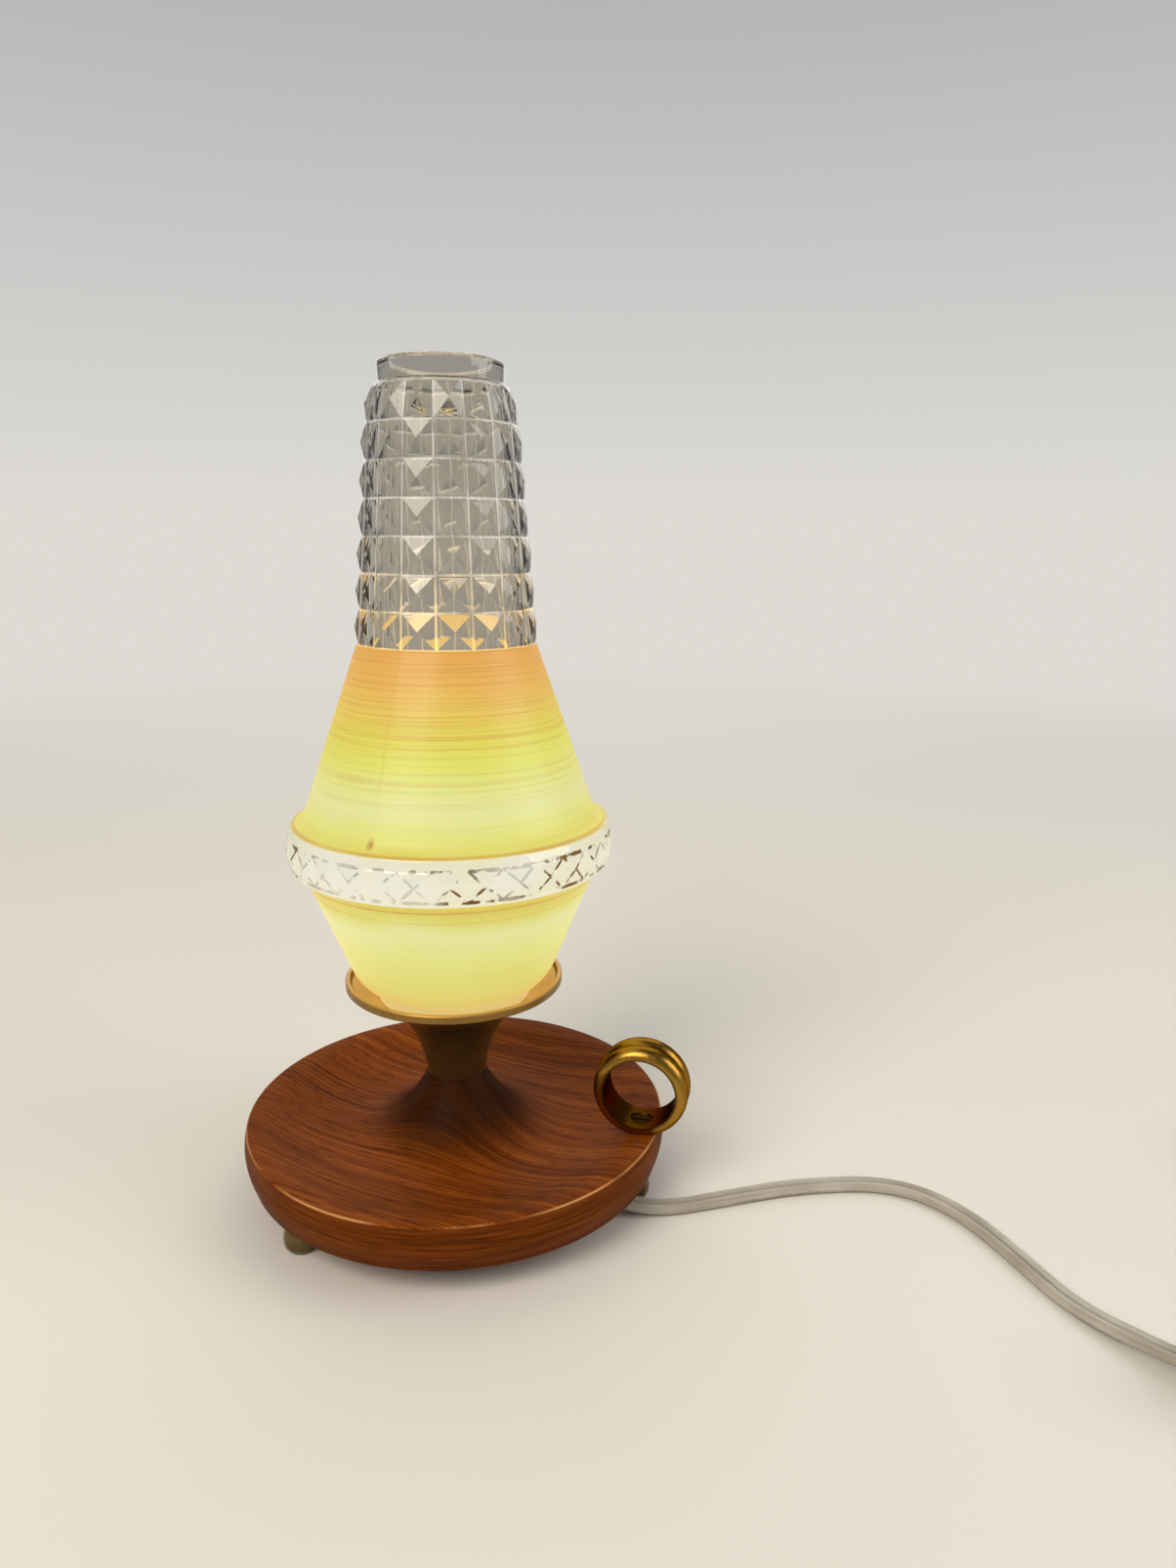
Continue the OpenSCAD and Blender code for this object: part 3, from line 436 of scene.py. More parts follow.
@dataclass(frozen=True)
class OiledTeak(Finish):
    """Teak, turned and oiled: fine straight lines along the grain, open pores and a soft sheen."""

    grain_angle: float = -42.0
    line_mm: float = 0.5
    band_mm: float = 5.0
    pore_mm: float = 0.5
    edge_r: float = 60.0
    edge_z: float = 21.5
    side_in: float = 2.4
    side_down: float = 0.4
    side_oil_and_shade: float = 0.42
    foot_r: Pair = (30.0, 13.0)
    foot_shadow: float = 0.86
    rubbed_highlight: Pair = (0.55, 0.3)
    handled_mm: float = 28.0
    dark: str = "#3c1a05"
    mid: str = "#74370a"
    light: str = "#96521a"
    worn_and_highlit: str = "#c9945c"
    painted_shadow: str = "#1f0e04"

    def surface(self, add: AddNode, place: Socket) -> Inputs:
        """Draws the grain, the oil and the wear.

        Args:
            add: adds a node to the material.
            place: the Object coordinates.

        Returns:
            The shader's inputs.
        """
        along = add("Mapping", {"Vector": place, "Rotation": (0, 0, -math.radians(self.grain_angle))})
        # Growth layers stand upright, and run many times longer than they are wide
        plank = add("Mapping", {"Vector": along, "Scale": (0.012, 1, 0.012)})
        # The turned side shows the same layers as level streaks
        turned = add("Mapping", {"Vector": place, "Scale": (0.03, 0.03, 0.8)})
        reach = self.from_axis(add, place)
        height = add("SeparateXYZ", {0: place}, "Z")
        outer = add("Math", {0: reach, 1: (self.edge_r - self.side_in) * MM}, operation="GREATER_THAN")
        lower = add("Math", {0: height, 1: (self.edge_z - self.side_down) * MM}, operation="LESS_THAN")
        side = add("Math", {0: outer, 1: lower}, operation="MULTIPLY")
        drawn = add("Mix", {"Factor": side, 4: plank, 5: turned}, 1, data_type="VECTOR")
        lines = add("TexNoise", {
            "Vector": drawn, "Scale": 1000 / self.line_mm, "Detail": 3, "Roughness": 0.6})
        bands = add("TexNoise", {
            "Vector": drawn, "Scale": 1000 / self.band_mm, "Detail": 3, "Roughness": 0.55})
        mixed = add("Math", {0: bands, 1: 0.6, 2: lines}, operation="MULTIPLY_ADD")
        spread = add("MapRange", {"Value": mixed, "From Min": 0.5, "From Max": 1.08})
        tone = add("ValToRGB", {0: spread}, ramp=((0.0, self.dark), (0.5, self.mid), (1.0, self.light)))
        # Pores are about 0.2 mm wide in life and drawn wider, so that they show
        thin = add("Mapping", {"Vector": along, "Scale": (0.05, 1, 0.5)})
        pores = add("TexNoise", {"Vector": thin, "Scale": 1000 / self.pore_mm, "Detail": 1, "Roughness": 0.5})
        open_pores = add("MapRange", {"Value": pores, "From Min": 0.57, "From Max": 0.7, "To Max": 0.75})
        inner = add("Math", {0: 1.0, 1: side}, operation="SUBTRACT")
        dots = add("Math", {0: open_pores, 1: inner}, operation="MULTIPLY")
        # The side is darker, partly because end grain drinks more oil and partly as painted shade, and a
        # painted shadow of the dish darkens the wood round the stem's foot
        soaked_and_shaded = add("MapRange", {"Value": side, "To Max": self.side_oil_and_shade})
        foot = add("MapRange", {
            "Value": reach, "From Min": self.foot_r[0] * MM, "From Max": self.foot_r[1] * MM,
            "To Max": self.foot_shadow}, interpolation_type="SMOOTHSTEP")
        # The top edge of the rim is paler where it is handled, and this pale line is also a painted highlight
        # along the edge
        shy, bare = self.rubbed_highlight
        rim = add("MapRange", {
            "Value": reach, "From Min": (self.edge_r - shy) * MM, "From Max": (self.edge_r - bare) * MM})
        high = add("MapRange", {
            "Value": height, "From Min": (self.edge_z - shy) * MM, "From Max": (self.edge_z - bare) * MM})
        edge = add("Math", {0: rim, 1: high}, operation="MULTIPLY")
        handling = add("TexNoise", {"Vector": place, "Scale": 1000 / self.handled_mm, "Detail": 3})
        wear_and_highlight = add("MapRange", {"Value": handling, "From Min": 0.42, "From Max": 0.62, "To Max": 0.85})
        rubbed_highlight = add("Math", {0: edge, 1: wear_and_highlight}, operation="MULTIPLY")
        layers = ((soaked_and_shaded, self.dark), (foot, self.painted_shadow), (dots, self.dark), (rubbed_highlight, self.worn_and_highlit))
        for amount, code in layers:
            tone = add("Mix", {"Factor": amount, 6: tone, 7: code}, 2, data_type="RGBA")
        gloss = add("MapRange", {"Value": lines, "To Min": 0.54, "To Max": 0.4})
        bump = add("Bump", {"Height": dots, "Strength": 0.25, "Distance": 0.2 * MM}, invert=True)
        return {"Base Color": tone, "Roughness": gloss, "Normal": bump, "Specular IOR Level": 0.035}


@dataclass(frozen=True)
class LacqueredBrass(Finish):
    """Brass under old lacquer: warm metal with faint tool marks and a little browning."""

    marks: ToolMarks = ToolMarks.TURNED
    bright: str = "#b98f45"
    brown: str = "#946a34"
    roughness: float = 0.38
    line_mm: float = 0.5
    cloud_mm: float = 9.0
    depth: float = 0.03
    coat: float = 0.15
    edge: str = "#ffffff"
    metal: float = 1.0

    def tone(self, add: AddNode, place: Socket) -> Socket:
        """Mixes the metal's colour, which has browned in clouds.

        Args:
            add: adds a node to the material.
            place: the Object coordinates.

        Returns:
            The colour's socket.
        """
        clouds = add("TexNoise", {
            "Vector": place, "Scale": 1000 / self.cloud_mm, "Detail": 5, "Roughness": 0.65})
        browned = add("MapRange", {"Value": clouds, "From Min": 0.45, "From Max": 0.8, "To Max": 0.55})
        return add("Mix", {"Factor": browned, 6: self.bright, 7: self.brown}, 2, data_type="RGBA")

    def surface(self, add: AddNode, place: Socket) -> Inputs:
        """Draws the metal with its tool marks.

        Args:
            add: adds a node to the material.
            place: the Object coordinates.

        Returns:
            The shader's inputs.
        """
        if self.marks is ToolMarks.TURNED:
            height = add("SeparateXYZ", {0: place}, "Z")
            across = add("CombineXYZ", {0: self.from_axis(add, place), 1: height})
        else:
            across = add("Mapping", {"Vector": place, "Scale": (1, 1, 0.2)})
        # Tool marks are about 0.1 mm apart in life and drawn wider, so that they show
        marks = add("TexNoise", {
            "Vector": across, "Scale": 1000 / self.line_mm, "Detail": 3, "Roughness": 0.7})
        rough = add("MapRange", {
            "Value": marks, "From Min": 0.3, "From Max": 0.7, "To Min": self.roughness - 0.05,
            "To Max": self.roughness + 0.1})
        bump = add("Bump", {"Height": marks, "Strength": self.depth, "Distance": 0.1 * MM})
        return {"Base Color": self.tone(add, place), "Roughness": rough, "Normal": bump,
                "Metallic": self.metal, "Specular Tint": self.edge, "Coat Weight": self.coat,
                "Coat Roughness": 0.15}


@dataclass(frozen=True)
class LitBrass(LacqueredBrass):
    """The dish's turned brass: darker than the other brass as painted shade, with the glowing glass's
    reflection painted as emission on what faces up.
    """

    bright: str = "#94723a"
    brown: str = "#6a4d26"
    lit: str = "#f2b856"
    glow: float = 0.4
    facing: Pair = (0.5, 0.8)

    def surface(self, add: AddNode, place: Socket) -> Inputs:
        """Draws the brass, and paints the glass's reflected glow as emission on what faces up.

        Args:
            add: adds a node to the material.
            place: the Object coordinates.

        Returns:
            The shader's inputs.
        """
        # A painted reflection of the glowing glass: emission where the face looks up
        up = add("SeparateXYZ", {0: add("NewGeometry", out="Normal")}, "Z")
        upper = add("MapRange", {"Value": up, "From Min": self.facing[0], "From Max": self.facing[1]})
        painted_glow = add("Mix", {"Factor": upper, 6: BLACK, 7: self.lit}, 2, data_type="RGBA")
        return super().surface(add, place) | {"Emission Color": painted_glow, "Emission Strength": self.glow}


@dataclass(frozen=True)
class BeadedBrass(LacqueredBrass):
    """The ring's cast brass: handled beads, with old polish dark in their groove and a darker bore."""

    centre: Triple = (47.72, -27.55, 33.7)
    axis: Triple = (0.5, 0.866, 0.0)
    groove_mm: float = 0.7
    groove_r: float = 11.4
    bore_r: float = 10.5
    grime: str = "#1e1408"
    bore: str = "#5c4218"

    def tone(self, add: AddNode, place: Socket) -> Socket:
        """Mixes the metal's colour, and darkens the groove and the bore.

        Args:
            add: adds a node to the material.
            place: the Object coordinates.

        Returns:
            The colour's socket.
        """
        centre = tuple(c * MM for c in self.centre)
        off = add("VectorMath", {0: place, 1: centre}, operation="SUBTRACT")
        along = add("VectorMath", {0: off, 1: self.axis}, "Value", operation="DOT_PRODUCT")
        beside = add("VectorMath", {0: off, 1: self.axis}, operation="CROSS_PRODUCT")
        reach = add("VectorMath", {0: beside}, "Value", operation="LENGTH")
        inside = add("MapRange", {
            "Value": reach, "From Min": (self.bore_r + 0.5) * MM, "From Max": self.bore_r * MM})
        metal = super().tone(add, place)
        browned = add("Mix", {"Factor": inside, 6: metal, 7: self.bore}, 2, data_type="RGBA")
        near = add("Math", {0: along}, operation="ABSOLUTE")
        middle = add("MapRange", {
            "Value": near, "From Min": self.groove_mm * MM, "From Max": 0.4 * self.groove_mm * MM})
        outside = add("Math", {0: reach, 1: self.groove_r * MM}, operation="GREATER_THAN")
        caught = add("Math", {0: middle, 1: outside}, operation="MULTIPLY")
        return add("Mix", {"Factor": caught, 6: browned, 7: self.grime}, 2, data_type="RGBA")


@dataclass(frozen=True)
class PlatedSteel(Finish):
    """Zinc-plated steel, drawn and barrel-plated: cool grey with a clouded sheen."""

    bright: str = "#b9bab6"
    dull: str = "#8b8c88"
    cloud_mm: float = 3.0

    def surface(self, add: AddNode, place: Socket) -> Inputs:
        """Draws the clouded plating.

        Args:
            add: adds a node to the material.
            place: the Object coordinates.

        Returns:
            The shader's inputs.
        """
        clouds = add("TexNoise", {"Vector": place, "Scale": 1000 / self.cloud_mm, "Detail": 4})
        colour = add("Mix", {"Factor": clouds, 6: self.bright, 7: self.dull}, 2, data_type="RGBA")
        rough = add("MapRange", {"Value": clouds, "To Min": 0.25, "To Max": 0.45})
        return {"Base Color": colour, "Roughness": rough, "Metallic": 1.0}


@dataclass(frozen=True)
class Moulding(Finish):
    """A moulded or glazed surface: an even colour with slight clouding and a fine orange-peel gloss."""

    colour: str = "#d8d3c4"
    aged: str = "#c3b99d"
    roughness: float = 0.3
    cloud_mm: float = 16.0
    peel_mm: float = 0.9
    peel: float = 0.1

    def surface(self, add: AddNode, place: Socket) -> Inputs:
        """Draws the clouding and the peel.

        Args:
            add: adds a node to the material.
            place: the Object coordinates.

        Returns:
            The shader's inputs.
        """
        clouds = add("TexNoise", {
            "Vector": place, "Scale": 1000 / self.cloud_mm, "Detail": 4, "Roughness": 0.6})
        aged = add("MapRange", {"Value": clouds, "From Min": 0.4, "From Max": 0.75, "To Max": 0.7})
        colour = add("Mix", {"Factor": aged, 6: self.colour, 7: self.aged}, 2, data_type="RGBA")
        rough = add("MapRange", {
            "Value": clouds, "To Min": self.roughness - 0.06, "To Max": self.roughness + 0.08})
        grit = add("TexNoise", {"Vector": place, "Scale": 1000 / self.peel_mm, "Detail": 1})
        bump = add("Bump", {"Height": grit, "Strength": self.peel, "Distance": 0.1 * MM})
        return {"Base Color": colour, "Roughness": rough, "Normal": bump, "IOR": 1.5}


@dataclass(frozen=True)
class PressedGlass(Finish):
    """Clear pressed soda glass: it bends what lies behind it, and the bulb's light on its edges is painted on
    as a glow.
    """

    tint: str = "#fbf6ec"
    cells: int = 16
    turn: float = 6.0
    low: float = 157.22
    row_h: float = 9.243
    rows: int = 7
    foot_r: float = 23.6
    skin: float = 1.8
    taper: float = 0.0739
    line_mm: float = 0.42
    patch_mm: float = 9.0
    ripple_mm: float = 7.0
    glow: float = 0.62
    warm: str = "#fbd27e"
    cool: str = "#b0aea8"

    def surface(self, add: AddNode, place: Socket) -> Inputs:
        """Draws the clear glass and paints the bulb's light on its pressed edges as a glow.

        Args:
            add: adds a node to the material.
            place: the Object coordinates.

        Returns:
            The shader's inputs.
        """
        x, y, z = add("SeparateXYZ", {0: place}).node.outputs
        angle = add("Math", {0: y, 1: x}, operation="ARCTAN2")
        arc = add("Math", {0: angle, 1: self.foot_r * MM, 2: -math.radians(self.turn) * self.foot_r * MM},
                  operation="MULTIPLY_ADD")
        aside = add("Math", {0: arc, 1: math.pi * self.foot_r * MM / self.cells}, operation="PINGPONG")
        height = add("Math", {0: z, 1: self.low * MM}, operation="SUBTRACT")
        above = add("Math", {0: height, 1: self.row_h * MM / 2}, operation="PINGPONG")
        nearest = add("Math", {0: aside, 1: above}, operation="MINIMUM")
        lit = add("MapRange", {
            "Value": nearest, "From Min": self.line_mm * MM, "From Max": 0.4 * self.line_mm * MM})
        # The grid lies on the outer face of the neck alone
        wall = add("Math", {0: height, 1: -self.taper, 2: (self.foot_r - self.skin) * MM},
                   operation="MULTIPLY_ADD")
        outer = add("Math", {0: self.from_axis(add, place), 1: wall}, operation="GREATER_THAN")
        over = add("Math", {0: height, 1: 0.0}, operation="GREATER_THAN")
        top = self.rows * self.row_h * MM
        under = add("Math", {0: height, 1: top}, operation="LESS_THAN")
        # The painted light dies away up the neck, and not every edge gets it
        caught = add("TexNoise", {"Vector": place, "Scale": 1000 / self.patch_mm, "Detail": 1})
        some = add("MapRange", {"Value": caught, "From Min": 0.35, "From Max": 0.6, "To Min": 0.3})
        for part in (outer, over, under, some):
            lit = add("Math", {0: lit, 1: part}, operation="MULTIPLY")
        rise = add("MapRange", {"Value": height, "From Max": top})
        edge = add("ValToRGB", {0: rise}, ramp=((0.0, self.warm), (0.45, self.cool), (1.0, self.cool)))
        painted_glow = add("Mix", {"Factor": lit, 6: BLACK, 7: edge}, 2, data_type="RGBA")
        ripple = add("TexNoise", {"Vector": place, "Scale": 1000 / self.ripple_mm, "Detail": 1})
        bump = add("Bump", {"Height": ripple, "Strength": 0.12, "Distance": 0.4 * MM})
        return {"Base Color": self.tint, "Emission Color": painted_glow, "Emission Strength": self.glow,
                "Normal": bump, "Transmission Weight": 1.0, "Roughness": 0.015, "IOR": 1.5}


@dataclass(frozen=True)
class LitGlaze(Finish):
    """Enamel with the bulb's light from inside painted on as emission: its colour changes with the height on
    the shade.
    """

    low: float = 57.0
    high: float = 158.0
    glow: float = 0.8
    body: float = 0.2
    stops: tuple[tuple[float, str], ...] = ()

    def rise(self, add: AddNode, height: Socket) -> Socket:
        """Turns a height into a share of the enamelled length."""
        return add("MapRange", {"Value": height, "From Min": self.low * MM, "From Max": self.high * MM})

    def colour_at(self, add: AddNode, level: Socket) -> Socket:
        """Gives the light's colour at a share of the enamelled length."""
        span = self.high - self.low
        return add("ValToRGB", {0: level}, ramp=[((z - self.low) / span, code) for z, code in self.stops])

    def lit(self, add: AddNode, colour: Socket) -> Inputs:
        """Makes a colour glow, over a body that answers other light a little."""
        muted = add("Mix", {"Factor": self.body, 6: BLACK, 7: colour}, 2, data_type="RGBA")
        return {"Base Color": muted, "Emission Color": colour, "Emission Strength": self.glow}


@dataclass(frozen=True)
class LitEnamel(LitGlaze):
    """Enamel brushed on glass and fired: fine level brush marks over a warm glow from the bulb inside,
    painted on as emission.
    """

    glow: float = 0.78
    body: float = 0.17
    stops: tuple[tuple[float, str], ...] = (
        (57.0, "#ecce86"), (62.0, "#efd684"), (65.0, "#ecd877"), (70.0, "#eae27a"), (78.0, "#ecec8a"),
        (87.0, "#eeefa6"), (92.0, "#e7e074"), (95.5, "#e6d464"), (109.5, "#e5da66"), (114.0, "#e6e782"),
        (119.0, "#e8e9a0"), (124.0, "#e7e88e"), (130.0, "#e4e66c"), (136.5, "#e6da5c"), (143.0, "#ebca5e"),
        (149.5, "#ebb859"), (158.0, "#e8aa54"),
    )
    line: str = "#c4803a"
    line_mm: float = 0.62
    fade_mm: float = 30.0
    drift_mm: float = 30.0
    drift_z: Pair = (66.0, 74.0)
    brushed_z: Pair = (114.0, 137.0)
    level_lines: tuple[Pair, ...] = ((61.6, 0.45), (91.4, 0.25), (94.8, 0.6), (109.5, 0.6))
    level_mm: Pair = (0.45, 0.1)
    seam_angle: float = -129.6
    seam_wide: float = 1.6
    smudge_at: Triple = (-25.8, -31.2, 113.0)
    smudge_mm: Pair = (2.4, 0.3)
    speck_mm: float = 1.4
    smudge: str = "#b06a20"
    bloom: str = "#f2b27a"

    def surface(self, add: AddNode, place: Socket) -> Inputs:
        """Draws the painted glow, the brush marks, the mould's seam and a browned run.

        Args:
            add: adds a node to the material.
            place: the Object coordinates.

        Returns:
            The shader's inputs.
        """
        x, y, z = add("SeparateXYZ", {0: place}).node.outputs
        # The painted glow wanders a little where the enamel is thicker
        drift = add("TexNoise", {"Vector": place, "Scale": 1000 / self.drift_mm, "Detail": 2})
        above = add("MapRange", {
            "Value": z, "From Min": self.drift_z[0] * MM, "From Max": self.drift_z[1] * MM, "To Max": 0.09})
        swing = add("Math", {0: drift, 1: 0.5}, operation="SUBTRACT")
        level = add("Math", {0: swing, 1: above, 2: self.rise(add, z)}, operation="MULTIPLY_ADD")
        # Brush marks are thin level lines, densest on the upper cone, that fade in and out round the glass
        drawn = add("Mapping", {"Vector": place, "Scale": (0.006, 0.006, 1)})
        marks = add("TexNoise", {
            "Vector": drawn, "Scale": 1000 / self.line_mm, "Detail": 2, "Roughness": 0.6})
        dark = add("MapRange", {"Value": marks, "From Min": 0.47, "From Max": 0.66, "To Max": 0.46})
        stretched = add("Mapping", {"Vector": place, "Scale": (1, 1, 2)})
        patches = add("TexNoise", {
            "Vector": stretched, "Scale": 1000 / self.fade_mm, "Detail": 3, "Roughness": 0.6})
        fading = add("MapRange", {"Value": patches, "From Min": 0.36, "From Max": 0.6, "To Min": 0.5})
        upper = add("MapRange", {
            "Value": z, "From Min": self.brushed_z[0] * MM, "From Max": self.brushed_z[1] * MM,
            "To Min": 0.12})
        shown = add("Math", {0: fading, 1: upper}, operation="MULTIPLY")
        brushed = add("Math", {0: dark, 1: shown}, operation="MULTIPLY")
        # The enamel gathers in a thin line at each edge
        for height, strength in self.level_lines:
            off = add("Math", {0: z, 1: height * MM}, operation="SUBTRACT")
            away = add("Math", {0: off}, operation="ABSOLUTE")
            thick = add("MapRange", {
                "Value": away, "From Min": self.level_mm[0] * MM, "From Max": self.level_mm[1] * MM,
                "To Max": strength})
            gathered = add("Math", {0: thick, 1: fading}, operation="MULTIPLY")
            brushed = add("Math", {0: brushed, 1: gathered}, operation="MAXIMUM")
        # The mould's seam runs up one side, and a small run of enamel has browned on it
        angle = add("Math", {0: y, 1: x}, operation="ARCTAN2")
        turned = add("Math", {0: angle, 1: math.radians(self.seam_angle)}, operation="SUBTRACT")
        aside = add("Math", {0: turned}, operation="ABSOLUTE")
        ridge = add("MapRange", {
            "Value": aside, "From Min": math.radians(self.seam_wide), "From Max": 0.0, "To Max": 0.12})
        seam = add("Math", {0: ridge, 1: upper}, operation="MULTIPLY")
        off = add("VectorMath", {0: place, 1: tuple(c * MM for c in self.smudge_at)}, operation="SUBTRACT")
        narrowed = add("VectorMath", {0: off, 1: (1.7, 1.7, 0.55)}, operation="MULTIPLY")
        distance = add("VectorMath", {0: narrowed}, "Value", operation="LENGTH")
        near = add("MapRange", {
            "Value": distance, "From Min": self.smudge_mm[0] * MM, "From Max": self.smudge_mm[1] * MM,
            "To Max": 2.2})
        specks = add("TexNoise", {"Vector": place, "Scale": 1000 / self.speck_mm, "Detail": 3})
        run = add("Math", {0: near, 1: specks}, operation="MULTIPLY")
        tone = self.colour_at(add, level)
        for amount, code in ((brushed, self.line), (seam, self.line), (run, self.smudge)):
            tone = add("Mix", {"Factor": amount, 6: tone, 7: code}, 2, data_type="RGBA")
        bump = add("Bump", {"Height": marks, "Strength": 0.1, "Distance": 0.2 * MM})
        return self.lit(add, tone) | {
            "Normal": bump, "Roughness": 0.4, "Specular IOR Level": 0.35, "Sheen Weight": 0.2,
            "Sheen Tint": self.bloom}


@dataclass(frozen=True)
class InnerGlow(LitGlaze):
    """The enamel's inner face, with the bulb's light painted on as emission: palest beside the bulb, golden
    towards the neck, slightly clouded.
    """

    glow: float = 0.84
    cloud_mm: float = 12.0
    stops: tuple[tuple[float, str], ...] = (
        (57.0, "#eec672"), (72.0, "#f5e8b4"), (86.0, "#f8f3e2"), (104.0, "#f6f5ee"), (118.0, "#f7efd0"),
        (134.0, "#f4de9a"), (147.0, "#f2d48c"), (158.0, "#f0cb80"),
    )

    def surface(self, add: AddNode, place: Socket) -> Inputs:
        """Draws the clouded painted glow.

        Args:
            add: adds a node to the material.
            place: the Object coordinates.

        Returns:
            The shader's inputs.
        """
        rise = self.rise(add, add("SeparateXYZ", {0: place}, "Z"))
        clouds = add("TexNoise", {"Vector": place, "Scale": 1000 / self.cloud_mm, "Detail": 3})
        shift = add("MapRange", {"Value": clouds, "To Min": -0.06, "To Max": 0.06})
        level = add("Math", {0: rise, 1: shift}, operation="ADD")
        return self.lit(add, self.colour_at(add, level)) | {"Roughness": 0.5}


@dataclass(frozen=True)
class CutBand(Finish):
    """The belly's clear glass: bright, with painted yellow patches and broken brown lines that stand for the
    light its pressed edges bend.
    """

    cells: int = 32
    turn: float = 6.0
    low: float = 98.6
    high: float = 106.6
    line_mm: float = 0.52
    break_mm: float = 3.2
    patch_mm: float = 22.0
    tint: str = "#faf9f4"
    yellow: str = "#f5efcb"
    brown: str = "#381600"

    def surface(self, add: AddNode, place: Socket) -> Inputs:
        """Paints the crossed lines and the frame of each cell, which stand for light bent by the pressed
        edges.

        Args:
            add: adds a node to the material.
            place: the Object coordinates.

        Returns:
            The shader's inputs.
        """
        x, y, z = add("SeparateXYZ", {0: place}).node.outputs
        span, per_cell = self.high - self.low, math.radians(360 / self.cells)
        angle = add("Math", {0: y, 1: x}, operation="ARCTAN2")
        turned = add("Math", {0: angle, 1: math.radians(self.turn)}, operation="SUBTRACT")
        cell = add("Math", {0: turned, 1: per_cell}, operation="DIVIDE")
        across = add("Math", {0: cell}, operation="FRACT")
        off = add("Math", {0: z, 1: self.low * MM}, operation="SUBTRACT")
        up = add("Math", {0: off, 1: span * MM}, operation="DIVIDE")
        down = add("Math", {0: up, 1: 1.0}, operation="SUBTRACT")
        rising = add("Math", {0: across, 1: up}, operation="SUBTRACT")
        falling = add("Math", {0: across, 1: down}, operation="ADD")
        nearest: Value = 1.0
        for line in (rising, falling, up, down):
            away = add("Math", {0: line}, operation="ABSOLUTE")
            nearest = add("Math", {0: nearest, 1: away}, operation="MINIMUM")
        broken = add("TexNoise", {"Vector": place, "Scale": 1000 / self.break_mm, "Detail": 2})
        within = add("Math", {0: broken, 1: -2 * self.line_mm / span, 2: nearest}, operation="MULTIPLY_ADD")
        lines = add("MapRange", {"Value": within, "From Min": 0.0, "From Max": -0.03})
        patchy = add("MapRange", {"Value": broken, "From Min": 0.45, "From Max": 0.53})
        wide = add("TexNoise", {"Vector": place, "Scale": 1000 / self.patch_mm, "Detail": 1})
        shown = add("MapRange", {"Value": wide, "From Min": 0.38, "From Max": 0.52, "To Min": 0.5})
        kept = add("Math", {0: patchy, 1: shown}, operation="MULTIPLY")
        drawn = add("Math", {0: lines, 1: kept}, operation="MULTIPLY")
        clear = add("Mix", {"Factor": shown, 6: self.tint, 7: self.yellow}, 2, data_type="RGBA")
        colour = add("Mix", {"Factor": drawn, 6: clear, 7: self.brown}, 2, data_type="RGBA")
        return {"Base Color": colour, "Transmission Weight": 1.0, "Roughness": 0.02, "IOR": 1.5}


@dataclass(frozen=True)
class LitBulb(Finish):
    """Thin blown bulb glass with a faint pearl coat, bright while it burns."""

    low: float = 95.0
    high: float = 137.0
    neck: str = "#f4dca8"
    belly: str = "#fff3d2"
    warm: str = "#ffe6b0"
    pearl: str = "#8f8a80"
    strength: float = 0.68

    def surface(self, add: AddNode, place: Socket) -> Inputs:
        """Draws the glow from the bulb's neck to its crown.

        Args:
            add: adds a node to the material.
            place: the Object coordinates.

        Returns:
            The shader's inputs.
        """
        height = add("SeparateXYZ", {0: place}, "Z")
        rise = add("MapRange", {"Value": height, "From Min": self.low * MM, "From Max": self.high * MM})
        tone = add("ValToRGB", {0: rise}, ramp=((0.0, self.neck), (0.3, self.belly), (1.0, self.warm)))
        return {"Base Color": self.pearl, "Emission Color": tone, "Emission Strength": self.strength,
                "Roughness": 0.12, "Transmission Weight": 0.4, "IOR": 1.5}


@dataclass(frozen=True)
class Vinyl(Finish):
    """Extruded vinyl sheath, once white: satin, streaked along its length, and darker along its grooves."""

    clean: str = "#b9b3a7"
    grimy: str = "#8f8676"
    groove: str = "#5f574b"
    groove_at: float = 11 / 24
    girth_mm: float = 16.0
    streak_mm: float = 1.3
    patch_mm: float = 22.0

    def surface(self, add: AddNode, place: Socket) -> Inputs:
        """Draws the streaks, the handling and the grooves.

        Args:
            add: adds a node to the material.
            place: the Object coordinates.

        Returns:
            The shader's inputs.
        """
        wrap = add("UVMap", uv_map="along")
        # The map runs once round the sheath and in metres along it
        drawn = add("Mapping", {"Vector": wrap, "Scale": (self.girth_mm * MM, 0.03, 1)})
        streaks = add("TexNoise", {
            "Vector": drawn, "Scale": 1000 / self.streak_mm, "Detail": 3, "Roughness": 0.6})
        patches = add("TexNoise", {
            "Vector": place, "Scale": 1000 / self.patch_mm, "Detail": 4, "Roughness": 0.6})
        both = add("Math", {0: patches, 1: streaks}, operation="ADD")
        amount = add("MapRange", {"Value": both, "From Min": 0.8, "From Max": 1.3})
        handled = add("Mix", {"Factor": amount, 6: self.clean, 7: self.grimy}, 2, data_type="RGBA")
        # The two grooves lie half a turn apart
        turn = add("SeparateXYZ", {0: wrap}, "X")
        halves = add("Math", {0: turn, 1: 2.0, 2: 0.5 - 2 * self.groove_at}, operation="MULTIPLY_ADD")
        part = add("Math", {0: halves, 1: 1.0}, operation="FLOORED_MODULO")
        off = add("Math", {0: part, 1: 0.5}, operation="SUBTRACT")
        away = add("Math", {0: off}, operation="ABSOLUTE")
        deep = add("MapRange", {"Value": away, "From Min": 0.13, "From Max": 0.03, "To Max": 0.85})
        colour = add("Mix", {"Factor": deep, 6: handled, 7: self.groove}, 2, data_type="RGBA")
        rough = add("MapRange", {"Value": patches, "To Min": 0.28, "To Max": 0.46})
        bump = add("Bump", {"Height": streaks, "Strength": 0.08, "Distance": 0.1 * MM})
        return {"Base Color": colour, "Roughness": rough, "Normal": bump}


def made(finish: Finish) -> Material:
    """Lets a field start with the material that a finish builds."""
    return field(default_factory=finish.build)


